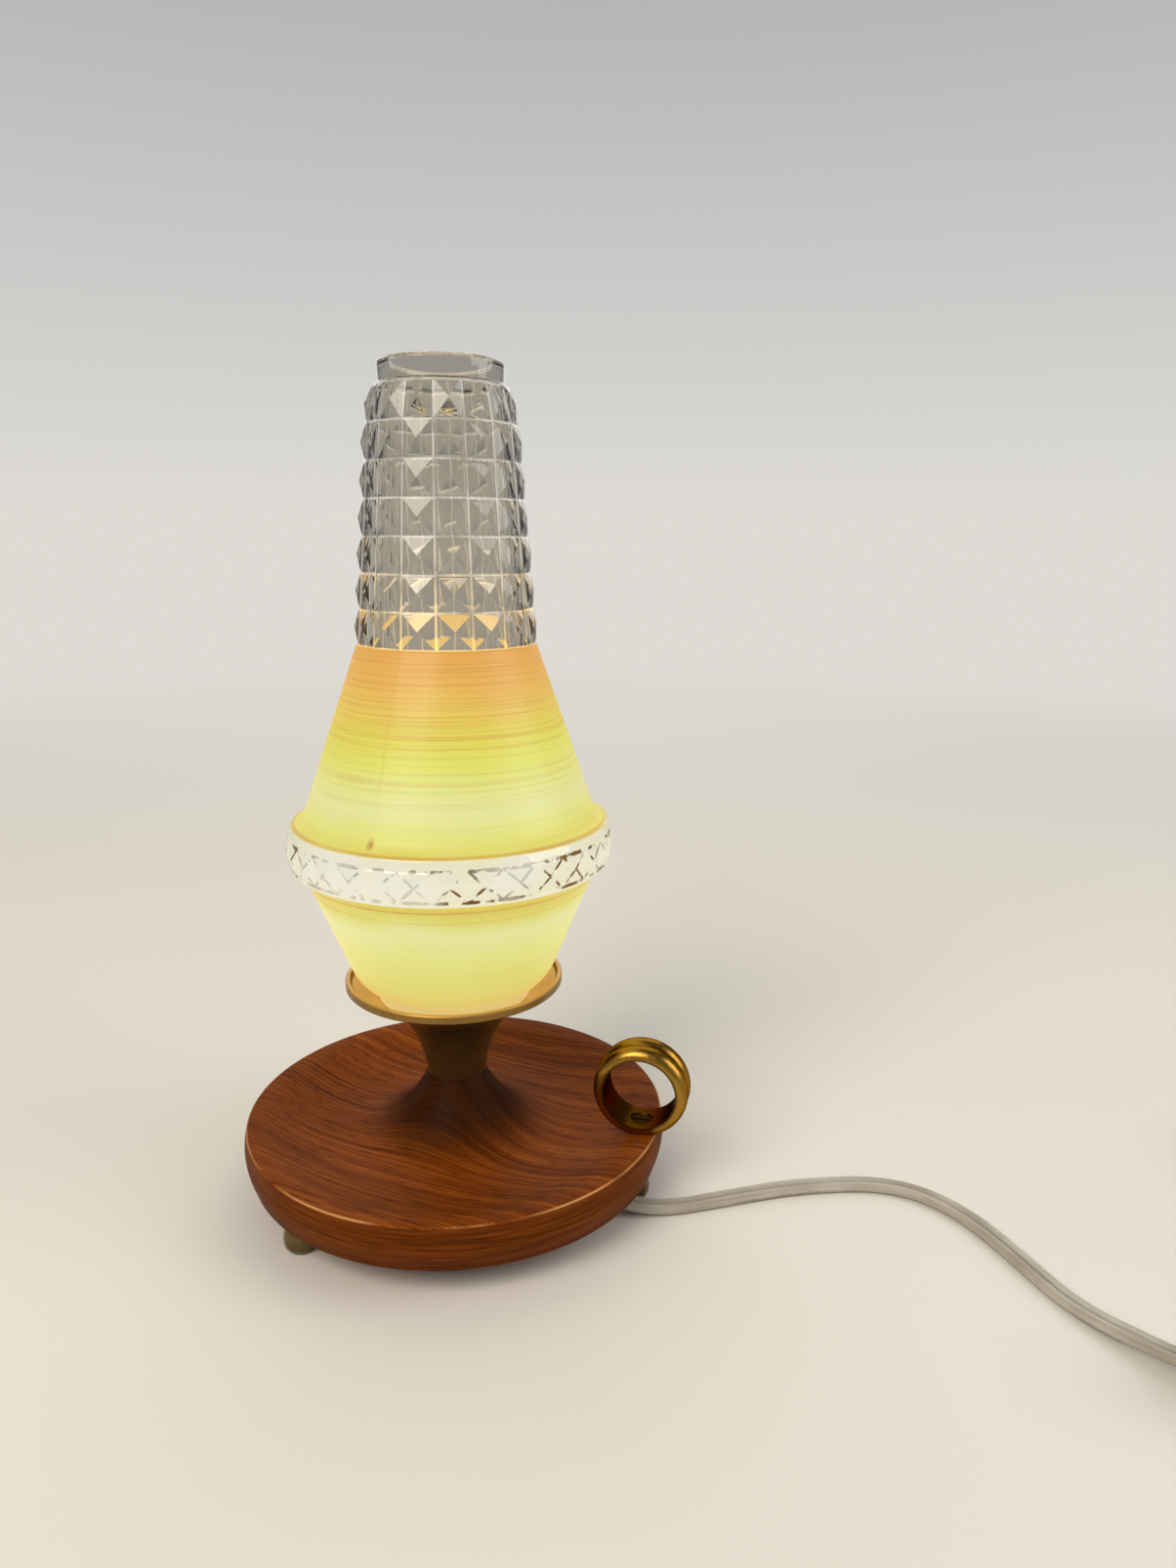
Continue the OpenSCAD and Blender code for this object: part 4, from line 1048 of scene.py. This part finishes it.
@dataclass
class Finishes:
    """Every finish of the lamp, built once."""

    teak: Material = made(OiledTeak("oiled_teak"))
    turned_brass: Material = made(LacqueredBrass("turned_brass"))
    lit_brass: Material = made(LitBrass("dish_brass_lit"))
    # The stem and feet get a darker copy of the brass: partly tarnish, partly painted shade under the dish
    # and the base
    aged_shaded_brass: Material = made(LacqueredBrass(
        "aged_shaded_brass", bright="#6e5c34", brown="#463824", roughness=0.26, line_mm=0.22, depth=0.01, metal=0.8))
    cast_brass: Material = made(BeadedBrass(
        "cast_brass", ToolMarks.POLISHED, bright="#a97f34", brown="#64491e", roughness=0.26, line_mm=1.1,
        depth=0.01, coat=0.0, edge="#8a6c38"))
    dark_brass: Material = made(LacqueredBrass(
        "dark_brass", bright="#4a371c", brown="#2a1d0e", roughness=0.45, coat=0.0, edge="#6a5230"))
    zinc: Material = made(PlatedSteel("zinc_plated_steel"))
    bakelite: Material = made(Moulding("black_bakelite", colour="#221c19", aged="#2e2520", roughness=0.26))
    porcelain: Material = made(Moulding("glazed_porcelain", colour="#e6e1d4", aged="#d8d0bd", roughness=0.16))
    urea: Material = made(Moulding("aged_white_urea"))
    strap: Material = made(Moulding("black_vinyl_strap", colour="#26262a", aged="#323236", roughness=0.5))
    glass: Material = made(PressedGlass("clear_pressed_glass"))
    band: Material = made(CutBand("cut_glass_band"))
    enamel: Material = made(LitEnamel("fired_enamel_lit"))
    glow: Material = made(InnerGlow("enamel_inside_lit"))
    bulb: Material = made(LitBulb("pearl_bulb_lit"))
    sheath: Material = made(Vinyl("grey_vinyl_sheath"))


# Sub-assemblies


@dataclass(frozen=True)
class SoftLamp:
    """A square studio lamp: its place and side, its power in watts and its colour."""

    name: str
    place: Triple
    side: float
    watts: float
    tint: str

    def hang(self, aim: Triple) -> None:
        """Hangs the lamp so that it faces a point.

        Args:
            aim: the point.
        """
        data = bpy.data.lights.new(self.name, "AREA")
        data.energy = self.watts
        data.size = self.side * MM
        data.color = linear(self.tint)[:3]
        lamp = bpy.data.objects.new(self.name, data)
        bpy.context.scene.collection.objects.link(lamp)
        lamp.location = Vector(self.place) * MM
        lamp.rotation_euler = (Vector(aim) * MM - lamp.location).to_track_quat("-Z", "Y").to_euler()
        lamp.visible_transmission = False


@dataclass
class Studio:
    """The pale floor, the soft lights, the world and the camera."""

    eye: Triple = (-51.27, -290.79, 185.61)
    heading: float = 72.612
    pitch: float = -12.912
    roll: float = 0.337
    lens_mm: float = 24.97
    sensor_mm: float = 36.0
    pale: str = "#dedbd5"
    wall: str = "#bfc0c1"
    overhead: str = "#69737f"
    fill: str = "#f3f1ec"
    fill_strength: float = 0.42
    floor_r: float = 6000.0
    floor_fades: Pair = (250.0, 1300.0)
    aim: Triple = (30.0, -20.0, 100.0)
    lamps: tuple[SoftLamp, ...] = (
        SoftLamp("key", (-620, -520, 820), 600, 8.0, "#fff4e4"),
        SoftLamp("fill", (760, -420, 520), 600, 3.4, "#fbf7f0"),
        SoftLamp("back", (180, 760, 700), 1200, 4.0, "#fbfaf6"),
    )

    def build_camera(self) -> None:
        """Sets the camera where the photograph was taken from."""
        data = bpy.data.cameras.new("photo_view")
        data.lens = self.lens_mm
        data.sensor_width = self.sensor_mm
        data.clip_start = 10 * MM
        camera = bpy.data.objects.new("photo_view", data)
        bpy.context.scene.collection.objects.link(camera)
        yaw, dip, tilt = (math.radians(a) for a in (self.heading, self.pitch, self.roll))
        ahead = Vector((math.cos(yaw) * math.cos(dip), math.sin(yaw) * math.cos(dip), math.sin(dip)))
        level = Vector((math.sin(yaw), -math.cos(yaw), 0))
        right = level * math.cos(tilt) + level.cross(ahead) * math.sin(tilt)
        turn = Matrix((right, right.cross(ahead), -ahead)).transposed().to_4x4()
        camera.matrix_world = Matrix.Translation(Vector(self.eye) * MM) @ turn
        bpy.context.scene.camera = camera

    def build_floor(self) -> None:
        """Lays the matt floor, which fades into the pale background far away."""
        deselect()
        bpy.ops.mesh.primitive_circle_add(vertices=96, radius=self.floor_r * MM, fill_type="NGON")
        floor = bpy.context.active_object
        floor.name = "floor"
        material = bpy.data.materials.new("pale_floor")
        material.use_nodes = True
        material.node_tree.nodes.clear()
        add = partial(add_node, material.node_tree)
        reach = add("VectorMath", {0: add("TexCoord", out="Object")}, "Value", operation="LENGTH")
        far = add("MapRange", {
            "Value": reach, "From Min": self.floor_fades[0] * MM, "From Max": self.floor_fades[1] * MM},
            interpolation_type="SMOOTHSTEP")
        matt = add("BsdfDiffuse", {"Color": self.pale})
        mirrored = add("LightPath", out="Is Glossy Ray")
        level = add("MapRange", {"Value": mirrored, "To Min": 1.0, "To Max": 0.45})
        glow = add("Emission", {"Color": self.pale, "Strength": level})
        add("OutputMaterial", {"Surface": add("MixShader", {0: far, 1: matt, 2: glow})})
        floor.data.materials.append(material)

    def build_world(self) -> None:
        """Fills the room with soft light, and shows the pale background itself."""
        world = bpy.data.worlds.new("soft_room")
        bpy.context.scene.world = world
        world.use_nodes = True
        world.node_tree.nodes.clear()
        add = partial(add_node, world.node_tree)
        path = add("LightPath").node.outputs
        seen = add("Math", {0: path["Is Camera Ray"], 1: path["Is Glossy Ray"]}, operation="MAXIMUM")
        shown = add("Math", {0: seen, 1: path["Is Transmission Ray"]}, operation="MAXIMUM")
        soft = add("Background", {"Color": self.fill, "Strength": self.fill_strength})
        # The room darkens overhead, which gives glass and metal something to show
        way = add("TexCoord", out="Generated")
        wall = add("ValToRGB", {0: add("SeparateXYZ", {0: way}, "Z")}, ramp=(
            (0.02, self.pale), (0.3, self.wall), (0.8, self.overhead)))
        parts = add("TexNoise", {"Vector": way, "Scale": 2.6, "Detail": 1})
        uneven = add("MapRange", {"Value": parts, "From Min": 0.38, "From Max": 0.62, "To Min": 0.32})
        inside = add("Mix", {"Factor": path["Is Glossy Ray"], 2: uneven, 3: 0.5})
        strength = add("Mix", {"Factor": path["Is Camera Ray"], 2: inside, 3: 1.0})
        room = add("Background", {"Color": wall, "Strength": strength})
        add("OutputWorld", {"Surface": add("MixShader", {0: shown, 1: soft, 2: room})})

    def build(self) -> None:
        """Builds the whole studio."""
        self.build_camera()
        self.build_floor()
        self.build_world()
        for lamp in self.lamps:
            lamp.hang(self.aim)
        bpy.context.scene.view_settings.view_transform = "Standard"


@dataclass
class FlatTwinCord:
    """The flat twin lead from the clip under the base, through the switch, to its coil and the plug."""

    width: float = 5.5
    thick: float = 2.8
    web: float = 1.4
    lead_angle: float = -43.0
    joint_reach: float = 32.0
    clip_reach: float = 27.0
    under_z: float = 6.5
    lie_z: float = 1.5
    switch_at: Pair = (160.0, -150.0)
    switch_angle: float = -45.0
    switch_half: float = 22.0
    grip: float = 4.0
    switch_z: float = 5.0
    coil_run: float = 48.0
    coil_r: float = 34.5
    turns: float = 7.39
    turn_points: int = 36
    pitch: float = 3.3
    coil_z: float = 4.15
    layer: float = 6.3
    tail: float = 30.0
    plug_z: float = 7.0
    bend_r: float = 8.0
    step: float = 2.4
    drop: tuple[Triple, ...] = ((33, -30.5, 5.2), (40, -35, 3.4), (47, -37.8, 2.2))
    lie: tuple[Pair, ...] = (
        (55, -39), (65, -39.4), (77, -39.6), (89, -40.2), (101, -42.2), (110, -44.6), (117, -48),
        (123, -53.2), (127, -59.8), (129.6, -67.4), (131, -76), (131.6, -85), (132, -94), (132.8, -103),
    )
    lift: tuple[Triple, ...] = ((134.6, -112, 2.2), (137.4, -120.5, 3.2))
    climb: Triple = (33.3, 52.5, 63.0)
    name: str = "flat_twin_cord"
    finished_on_it: tuple[str, ...] = (
        "coil_tie", "switch_base", "switch_cover", "switch_rocker", "plug_body")
    nodes_on_it: tuple[str, ...] = ("rocker_pin", "switch_contacts", "switch_screws", "plug_pins")

    def on_lead(self, reach: float, z: float) -> Vector:
        """Gives a point on the lead's way under the base."""
        return polar(self.lead_angle, reach, z)

    def on_switch(self, x: float, z: float) -> Vector:
        """Gives a point on the switch's long axis."""
        a = math.radians(self.switch_angle)
        return Vector((self.switch_at[0] + x * math.cos(a), self.switch_at[1] + x * math.sin(a), z))

    def coil_angle(self, t: float) -> float:
        """Gives the coil's angle in degrees after some turns."""
        return self.switch_angle - 90 + 360 * t

    def coil_centre(self) -> Vector:
        """Gives the middle of the coil."""
        return self.on_switch(self.coil_run, 0) - self.coil_r * polar(self.coil_angle(0), 1.0)

    def on_coil(self, t: float) -> Vector:
        """Gives a point of the coil after some turns.

        Args:
            t: turns from its start.

        Returns:
            The point: the coil spirals in, climbs a layer and spirals out.
        """
        half = self.turns / 2
        radius = self.coil_r - self.pitch * (half - abs(t - half))
        c = min(1.0, max(0.0, (t - half + 0.25) * 2))
        height = self.coil_z + self.layer * c * c * (3 - 2 * c)
        return self.coil_centre() + polar(self.coil_angle(t), radius, height)

    def on_tail(self, s: float, z: float) -> Vector:
        """Gives a point on the straight tail behind the plug.

        Args:
            s: how far it lies from the coil's end.
            z: its height.

        Returns:
            The point.
        """
        a = self.coil_angle(self.turns)
        foot = self.coil_centre() + self.coil_r * polar(a, 1.0) + s * polar(a + 90, 1.0)
        return Vector((foot.x, foot.y, z))

    def route(self) -> list[tuple[Vector, float]]:
        """Lists the route's points, each with its roll in degrees.

        Returns:
            Points from the clip to the plug; on edge is a roll of 90.
        """
        half, top = self.switch_half, self.coil_z + self.layer
        flat = [self.on_lead(self.joint_reach + x, self.under_z) for x in (0, 4)]
        flat += [Vector(p) for p in self.drop]
        flat += [Vector((x, y, self.lie_z)) for x, y in self.lie]
        flat += [Vector(p) for p in self.lift]
        along = (-half - 6, -half + self.grip, 0, half - self.grip, half + 2)
        flat += [self.on_switch(x, self.switch_z) for x in along]
        points = [(p, 0.0) for p in flat]
        points.append((self.on_switch(half + 8, (self.switch_z + self.coil_z) / 2), 45.0))
        edgewise = [self.on_switch(self.coil_run - 5, self.coil_z)]
        steps = round(self.turns * self.turn_points)
        edgewise += [self.on_coil(self.turns * i / steps) for i in range(steps + 1)]
        edgewise += [self.on_tail(8, top - 0.2), self.on_tail(16, (top + self.plug_z) / 2)]
        edgewise += [self.on_tail(self.tail - x, self.plug_z) for x in (6, 0)]
        return points + [(p, 90.0) for p in edgewise]

    def section(self) -> list[Pair]:
        """Draws the outline of the two cores and the web between them.

        Returns:
            Its points, across and up.
        """
        core = self.thick / 2
        reach = self.width / 2 - core
        arc = [math.radians(-150 + 30 * i) for i in range(11)]
        right = [(reach + core * math.cos(a), core * math.sin(a)) for a in arc]
        left = [(-x, -y) for x, y in right]
        return right + [(0.0, self.web / 2)] + left + [(0.0, -self.web / 2)]

    def smooth_line(self, points: Sequence[tuple[Vector, float]]) -> tuple[list[Vector], list[float]]:
        """Runs a smooth line through the points.

        Args:
            points: places in millimetres and rolls in degrees.

        Returns:
            Close points on the line and the roll at each.
        """
        spots = [p for p, _ in points]
        rolls = [r for _, r in points]
        line: list[Vector] = []
        turn: list[float] = []
        for i in range(len(spots) - 1):
            before = spots[max(i - 1, 0)]
            after = spots[min(i + 2, len(spots) - 1)]
            a, b = spots[i], spots[i + 1]
            gap = (b - a).length
            start = (b - before).normalized() * gap
            end = (after - a).normalized() * gap
            count = max(1, round(gap / self.step))
            for k in range(count):
                t = k / count
                h00, h10 = 2 * t ** 3 - 3 * t ** 2 + 1, t ** 3 - 2 * t ** 2 + t
                h01, h11 = -2 * t ** 3 + 3 * t ** 2, t ** 3 - t ** 2
                line.append(a * h00 + start * h10 + b * h01 + end * h11)
                turn.append(rolls[i] + (rolls[i + 1] - rolls[i]) * t)
        return line + [spots[-1]], turn + [rolls[-1]]

    def sweep(self, name: str, points: Sequence[tuple[Vector, float]],
              side: Optional[Vector] = None) -> Piece:
        """Sweeps the section along a smooth line through the points.

        Args:
            name: the new object's name.
            points: places in millimetres and rolls in degrees.
            side: the wide way where it stays fixed, or nothing where it stays level.

        Returns:
            The tube.
        """
        line, turn = self.smooth_line(points)
        outline = self.section()
        verts: list[Vector] = []
        for i, p in enumerate(line):
            ahead = (line[min(i + 1, len(line) - 1)] - line[max(i - 1, 0)]).normalized()
            wide = side if side else ahead.cross(Vector((0, 0, 1))).normalized()
            high = wide.cross(ahead)
            roll = math.radians(turn[i])
            for x, y in outline:
                verts.append((p + wide * (x * math.cos(roll) - y * math.sin(roll))
                              + high * (x * math.sin(roll) + y * math.cos(roll))) * MM)
        n = len(outline)
        faces: list[tuple[int, ...]] = []
        for i in range(len(line) - 1):
            for j in range(n):
                k = (j + 1) % n
                faces.append((i * n + j, (i + 1) * n + j, (i + 1) * n + k, i * n + k))
        last = (len(line) - 1) * n
        faces += [tuple(range(n)), tuple(last + j for j in reversed(range(n)))]
        mesh = bpy.data.meshes.new(name)
        mesh.from_pydata(verts, [], faces)
        tube = bpy.data.objects.new(name, mesh)
        bpy.context.scene.collection.objects.link(tube)
        face_outwards(tube)
        smooth(tube, 40)
        self.wrap(tube, line)
        return tube

    def wrap(self, tube: Piece, line: Sequence[Vector]) -> None:
        """Lays a map on a tube: once round it one way, and metres along it the other.

        Args:
            tube: the swept tube.
            line: the points that it follows, in millimetres.
        """
        n = len(self.section())
        run = [0.0]
        for a, b in zip(line, line[1:]):
            run.append(run[-1] + (b - a).length * MM)
        layer = tube.data.uv_layers.new(name="along")
        for face in tube.data.polygons:
            on_seam = {v % n for v in face.vertices} == {0, n - 1}
            for loop in face.loop_indices:
                point = tube.data.loops[loop].vertex_index
                step = n if on_seam and point % n == 0 else point % n
                layer.data[loop].uv = (step / n, run[point // n])

    def build(self, finishes: Finishes) -> None:
        """Builds the free cord and the lead inside the lamp.

        Args:
            finishes: the lamp's materials.
        """
        cord = self.sweep(self.name, self.route())
        dress(cord, finishes.sheath)
        enlist(cord, "base", "cord", "cord_lead", "cord_coil")
        low, bend = self.under_z, self.bend_r
        inside = [self.on_lead(reach, low) for reach in (self.joint_reach, self.clip_reach, 2 * bend)]
        for step in range(5):
            a = math.radians(22.5 * step)
            inside.append(self.on_lead(bend * (1 - math.sin(a)), low + bend * (1 - math.cos(a))))
        inside += [Vector((0, 0, z)) for z in self.climb]
        lead = self.sweep("lead_inside", [(p, 0.0) for p in inside], polar(self.lead_angle - 90, 1.0))
        dress(lead, finishes.sheath)
        enlist(lead, "base", "cord", "inner_lead")

    def declare(self) -> None:
        path = [p * MM for p in self.smooth_line(self.route())[0]]
        on_it = [bpy.data.objects[name + "_finished"] for name in self.finished_on_it]
        on_it += [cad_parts[name] for name in self.nodes_on_it]


class ShadeZone(IntEnum):
    """The shade's material slots, in order."""

    CLEAR = 0
    ENAMEL = 1
    INSIDE = 2
    BAND = 3


@dataclass
class GlassShade:
    """The pressed-glass shade: one closed shell with pressed pyramids on its neck and belly."""

    bottom: float = 57.02
    collar_r: float = 21.5
    collar_wall: float = 2.4
    collar_top: float = 61.32
    lower_cone: tuple[Pair, Pair] = ((29.0, 67.82), (39.0, 92.32))
    band: Pair = (97.32, 109.12)
    band_r: float = 43.4
    cells: tuple[Pair, Pair] = ((43.85, 98.6), (44.2, 106.6))
    cell_inset: Pair = (0.5, 0.3)
    cell_height: float = 1.05
    brow: Pair = (44.0, 107.6)
    belly: Pair = (44.8, 103.2)
    upper_cone: tuple[Pair, Pair] = ((39.2, 113.02), (24.0, 157.22))
    row_h: float = 9.243
    rows: int = 7
    columns: int = 16
    turn: float = 6.0
    neck_r: Pair = (23.6, 19.5)
    shoulder_r: float = 17.4
    pillow: Pair = (1.0, 0.45)
    point: float = 0.95
    edge_mm: float = 0.3
    rim_r: float = 16.0
    top: float = 228.22
    wall: float = 3.0
    sides: int = 96

    def row(self, k: int) -> Pair:
        """Gives the radius and height of one of the neck's row lines.

        Args:
            k: rows from the neck's foot.

        Returns:
            The ring.
        """
        foot, head = self.neck_r
        radius = self.shoulder_r if k == self.rows else foot + (head - foot) * k / (self.rows - 1)
        return (radius, self.upper_cone[1][1] + k * self.row_h)

    def outer_low(self) -> list[Pair]:
        """Lists the outer wall from the collar to the belly's lower strip.

        Returns:
            Its rings, from below.
        """
        foot, head = self.lower_cone
        rings = [(self.collar_r - 0.6, self.bottom), (self.collar_r, self.bottom + 0.6),
                 (self.collar_r, self.collar_top - 0.6)]
        rings += curve((self.collar_r, self.collar_top), (foot[0] - 2.5, self.collar_top + 0.6), foot, 8)
        rings += curve(head, (head[0] + 1.6, head[1] + 3.5), (self.band_r, self.band[0]), 7)
        return rings + [(self.cells[0][0], self.cells[0][1] - 0.25)]

    def outer_high(self) -> list[Pair]:
        """Lists the outer wall from the belly's upper strip to the neck.

        Returns:
            Its rings, from below.
        """
        foot, head = self.upper_cone
        rings = [(self.cells[1][0], self.cells[1][1] + 0.25), self.brow, (self.band_r, self.band[1])]
        rings += curve((self.band_r, self.band[1]), (foot[0] + 0.9, self.band[1] + 1.4), foot, 7)[1:]
        mid = ((foot[0] + head[0]) / 2, (foot[1] + head[1]) / 2)
        return rings + [mid, (head[0], head[1] - 0.25)]

    def inner_wall(self) -> list[Pair]:
        """Lists the rim and the inner wall down to the collar's foot.

        Returns:
            Their rings, from the rim's foot over its top and down inside.
        """
        rows_top, top = self.row(self.rows)[1], self.top
        rim, inside = self.rim_r, self.rim_r - self.wall
        rings = [(rim + 0.5, rows_top + 0.35), (rim, rows_top + 0.9), (rim + 0.3, top - 0.8),
                 (rim - 0.3, top), (inside + 0.4, top), (inside, top - 0.5), (inside, rows_top + 0.6)]
        rows = [self.row(k) for k in range(self.rows, 0, -1)]
        rings += [(r - self.wall, z) for r, z in rows]
        outer = [self.upper_cone[1]] + self.outer_high()[::-1][1:-1]
        outer += [self.belly] + self.outer_low()[::-1][1:-2]
        bore = self.collar_r - self.collar_wall
        return rings + [(max(r - self.wall, bore), z) for r, z in outer] + [(bore, self.bottom)]

    def build(self, finishes: Finishes) -> None:
        """Builds the shell from its turned walls and pressed rows, and dresses it.

        Args:
            finishes: the lamp's materials.
        """
        low, high, inner = self.outer_low(), self.outer_high(), self.inner_wall()
        neck = [self.row(k) for k in range(self.rows + 1)]
        walls = (("shade_low", low, self.sides), ("shade_cells", self.cells, 2 * self.columns),
                 ("shade_high", high, self.sides), ("shade_neck", neck, self.columns),
                 ("shade_inner", inner, self.sides))
        shade = join([turn_rings(*wall, self.turn) for wall in walls], "pressed_glass_shade")
        gaps = ((low[-1], self.cells[0]), (self.cells[1], high[0]), (high[-1], neck[0]),
                (neck[-1], inner[0]), (inner[-1], low[0]))
        for gap in gaps:
            bridge(shade, *gap)
        face_outwards(shade)
        self.press(shade, neck)
        round_edges(shade, self.edge_mm, 24, 2, shaded=11)
        dress(shade, finishes.glass, finishes.enamel, finishes.glow, finishes.band)
        self.paint(shade)
        enlist(shade, "shade", "shade_glass", "shade_bowl", "shade_cone", "shade_neck")

    def press(self, shade: Piece, neck: Sequence[Pair]) -> None:
        """Raises a pyramid on each cell of the neck and of the belly band.

        Args:
            shade: the shell.
            neck: the neck's row lines.
        """

        def in_neck(face: bmesh.types.BMFace) -> bool:
            """Tells whether a face is one whole cell of the neck.

            Args:
                face: the face.

            Returns:
                True where it is.
            """
            middle = face.calc_center_median()
            lengths = [e.calc_length() / MM for e in face.edges]
            return (len(lengths) == 4 and neck[0][1] < middle.z / MM < neck[-1][1]
                    and min(lengths) > self.row_h / 2
                    and face.normal.dot(Vector((middle.x, middle.y, 0))) > 0)

        def in_band(face: bmesh.types.BMFace) -> bool:
            """Tells whether a face is one whole cell of the belly band."""
            ends = [f(v.co.z / MM for v in face.verts) for f in (min, max)]
            return len(face.verts) == 4 and all(abs(z - ring[1]) < 0.05 for z, ring in zip(ends, self.cells))

        pressed = ((in_neck, self.pillow, self.point),
                   (in_band, self.cell_inset, self.cell_height - self.cell_inset[1]))
        with editing(shade):
            for cell, (border, rise), point in pressed:
                pick(shade, "FACE", cell)
                bpy.ops.mesh.inset(thickness=border * MM, depth=rise * MM, use_individual=True)
                bpy.ops.mesh.poke(offset=point * MM)

    def paint(self, shade: Piece) -> None:
        """Puts the enamel on both cones, its glow on their inner walls, and the lines on the belly.

        Args:
            shade: the shell.
        """
        bottom, neck = self.bottom - 1, self.upper_cone[1][1] - 0.1
        strip, brow = self.band[0] - 0.1, self.band[1] + 0.1
        for face in shade.data.polygons:
            z = face.center.z / MM
            inward = face.normal.x * face.center.x + face.normal.y * face.center.y < 0
            if bottom < z < neck and inward:
                face.material_index = ShadeZone.INSIDE
            elif bottom < z < strip or brow < z < neck:
                face.material_index = ShadeZone.ENAMEL
            elif strip <= z <= brow:
                face.material_index = ShadeZone.BAND


@dataclass
class WoodenBase:
    """The turned teak base with its dished top, boss and recess."""

    rim_z: float = 21.5
    under_z: float = 8.0
    r: float = 60.0
    under_r: float = 59.0
    under_round: float = 2.0
    swell: float = 0.8
    swell_z: float = 7.4
    rim_w: float = 5.0
    rim_round: float = 0.7
    roll: float = 3.6
    dish_r: float = 31.0
    dish_depth: float = 5.5
    boss_r: float = 8.4
    boss_z: float = 33.3
    boss_pull: float = 0.53
    hole_r: float = 5.2
    recess_r: float = 17.0
    recess_z: float = 16.0
    sides: int = 160

    def profile(self) -> list[Pair]:
        """Lists the rings from the boss down over the rim to the recess.

        Returns:
            Radius and height of each ring.
        """
        floor, edge_r = self.rim_z - self.dish_depth, self.r - self.rim_w
        boss = (self.boss_r, self.boss_z)
        foot, low = (self.dish_r, floor), (self.under_r, self.under_z + self.under_round)
        brow, edge = (self.r - self.rim_round, self.rim_z), (self.r, self.rim_z - self.rim_round)
        rings = [(self.hole_r, self.boss_z), (self.boss_r - 0.3, self.boss_z),
                 (self.boss_r, self.boss_z - 0.3)]
        rings += curve(foot, (self.dish_r * self.boss_pull, floor), boss, 22)[-2::-1]
        dish = curve((edge_r, self.rim_z), ((edge_r + self.dish_r) / 2, floor), foot, 18)
        rings += dish[-2:3:-1]
        rings += curve(dish[3], dish[0], (edge_r + self.roll, self.rim_z), 8)
        rings += curve(brow, (self.r, self.rim_z), edge, 5)
        rings += curve(edge, (self.r + 2 * self.swell, self.under_z + self.swell_z), low, 14)[1:]
        rings += curve(low, (self.under_r, self.under_z),
                       (self.under_r - self.under_round, self.under_z), 6)[1:]
        return rings + [(self.recess_r + 0.4, self.under_z), (self.recess_r, self.under_z + 0.4),
                        (self.recess_r, self.recess_z), (self.hole_r, self.recess_z)]

    def build(self, finishes: Finishes) -> None:
        """Turns the base and dresses it.

        Args:
            finishes: the lamp's materials.
        """
        rings = self.profile()
        base = turn_rings("turned_teak_base", rings, self.sides)
        bridge(base, rings[0], rings[-1])
        face_outwards(base)
        smooth(base, 30)
        dress(base, finishes.teak)
        enlist(base, "base", "teak", "wood_base")


@dataclass
class Brassware:
    """The brass feet, ring, stem and dish, and the steel and brass fixings inside."""

    clip_edge: float = 0.25

    def build(self, finishes: Finishes) -> None:
        """Dresses the metal pieces, and rounds the clip's edges.

        Args:
            finishes: the lamp's materials.
        """
        dress_nodes(finishes.turned_brass, "dish_washer", "dish_nut")
        dress_nodes(finishes.aged_shaded_brass, "stem_trumpet", "feet")
        dress_nodes(finishes.cast_brass, "ring_handle")
        dress_nodes(finishes.zinc, "threaded_tube", "base_washer", "base_nut", "clip_screws")
        dress_nodes(finishes.lit_brass, "shade_dish")
        dress_nodes(finishes.dark_brass, "ring_screw")
        refine("cord_clip", finishes.zinc, "base", "steel", self.clip_edge)


@dataclass
class BulbAndHolder:
    """The glazed bulb holder and the small lit bulb."""

    def build(self, finishes: Finishes) -> None:
        """Dresses the holder and the bulb.

        Args:
            finishes: the lamp's materials.
        """
        dress_nodes(finishes.porcelain, "holder_cap", "holder_sleeve", "holder_insert")
        dress_nodes(finishes.turned_brass, "screw_shell", "centre_contact", "terminal_screws", "bulb_cap")
        dress_nodes(finishes.bulb, "bulb_glass", "bulb_mount")
        dress_nodes(finishes.bakelite, "bulb_insulator")
        dress_nodes(finishes.zinc, "bulb_contact")


@dataclass
class CordSwitch:
    """The switch on the cord: two moulded shells and a rocker."""

    base_edge: float = 0.7
    cover_edge: float = 1.2
    rocker_edge: float = 0.6

    def build(self, finishes: Finishes) -> None:
        """Rounds the moulded pieces and dresses them.

        Args:
            finishes: the lamp's materials.
        """
        for node, edge in (("switch_base", self.base_edge), ("switch_cover", self.cover_edge)):
            refine(node, finishes.urea, "base", "moulded_white", edge, angle=50, segments=4)
        refine("switch_rocker", finishes.bakelite, "rocker", "moulded_black", self.rocker_edge)
        dress_nodes(finishes.zinc, "rocker_pin", "switch_screws")
        dress_nodes(finishes.turned_brass, "switch_contacts")


@dataclass
class PlugAndTie:
    """The flat plug with its pins, and the tie round the coil."""

    body_edge: float = 2.0
    tie_edge: float = 0.4

    def build(self, finishes: Finishes) -> None:
        """Rounds the plug and the tie and dresses them.

        Args:
            finishes: the lamp's materials.
        """
        refine("plug_body", finishes.urea, "base", "moulded_white", self.body_edge, angle=25, segments=4)
        refine("coil_tie", finishes.strap, "base", "tie", self.tie_edge)
        dress_nodes(finishes.zinc, "plug_pins")


def main() -> None:
    """Builds the studio, the cord and every piece."""
    logging.basicConfig(level=logging.INFO, format="%(name)s: %(message)s")
    Studio().build()
    finishes = Finishes()
    cord = FlatTwinCord()
    assemblies = (cord, GlassShade(), WoodenBase(), Brassware(), BulbAndHolder(), CordSwitch(), PlugAndTie())
    for assembly in assemblies:
        log.info("%s", type(assembly).__name__)
        assembly.build(finishes)
    cord.declare()
    deselect()


if __name__ == "__main__":
    main()
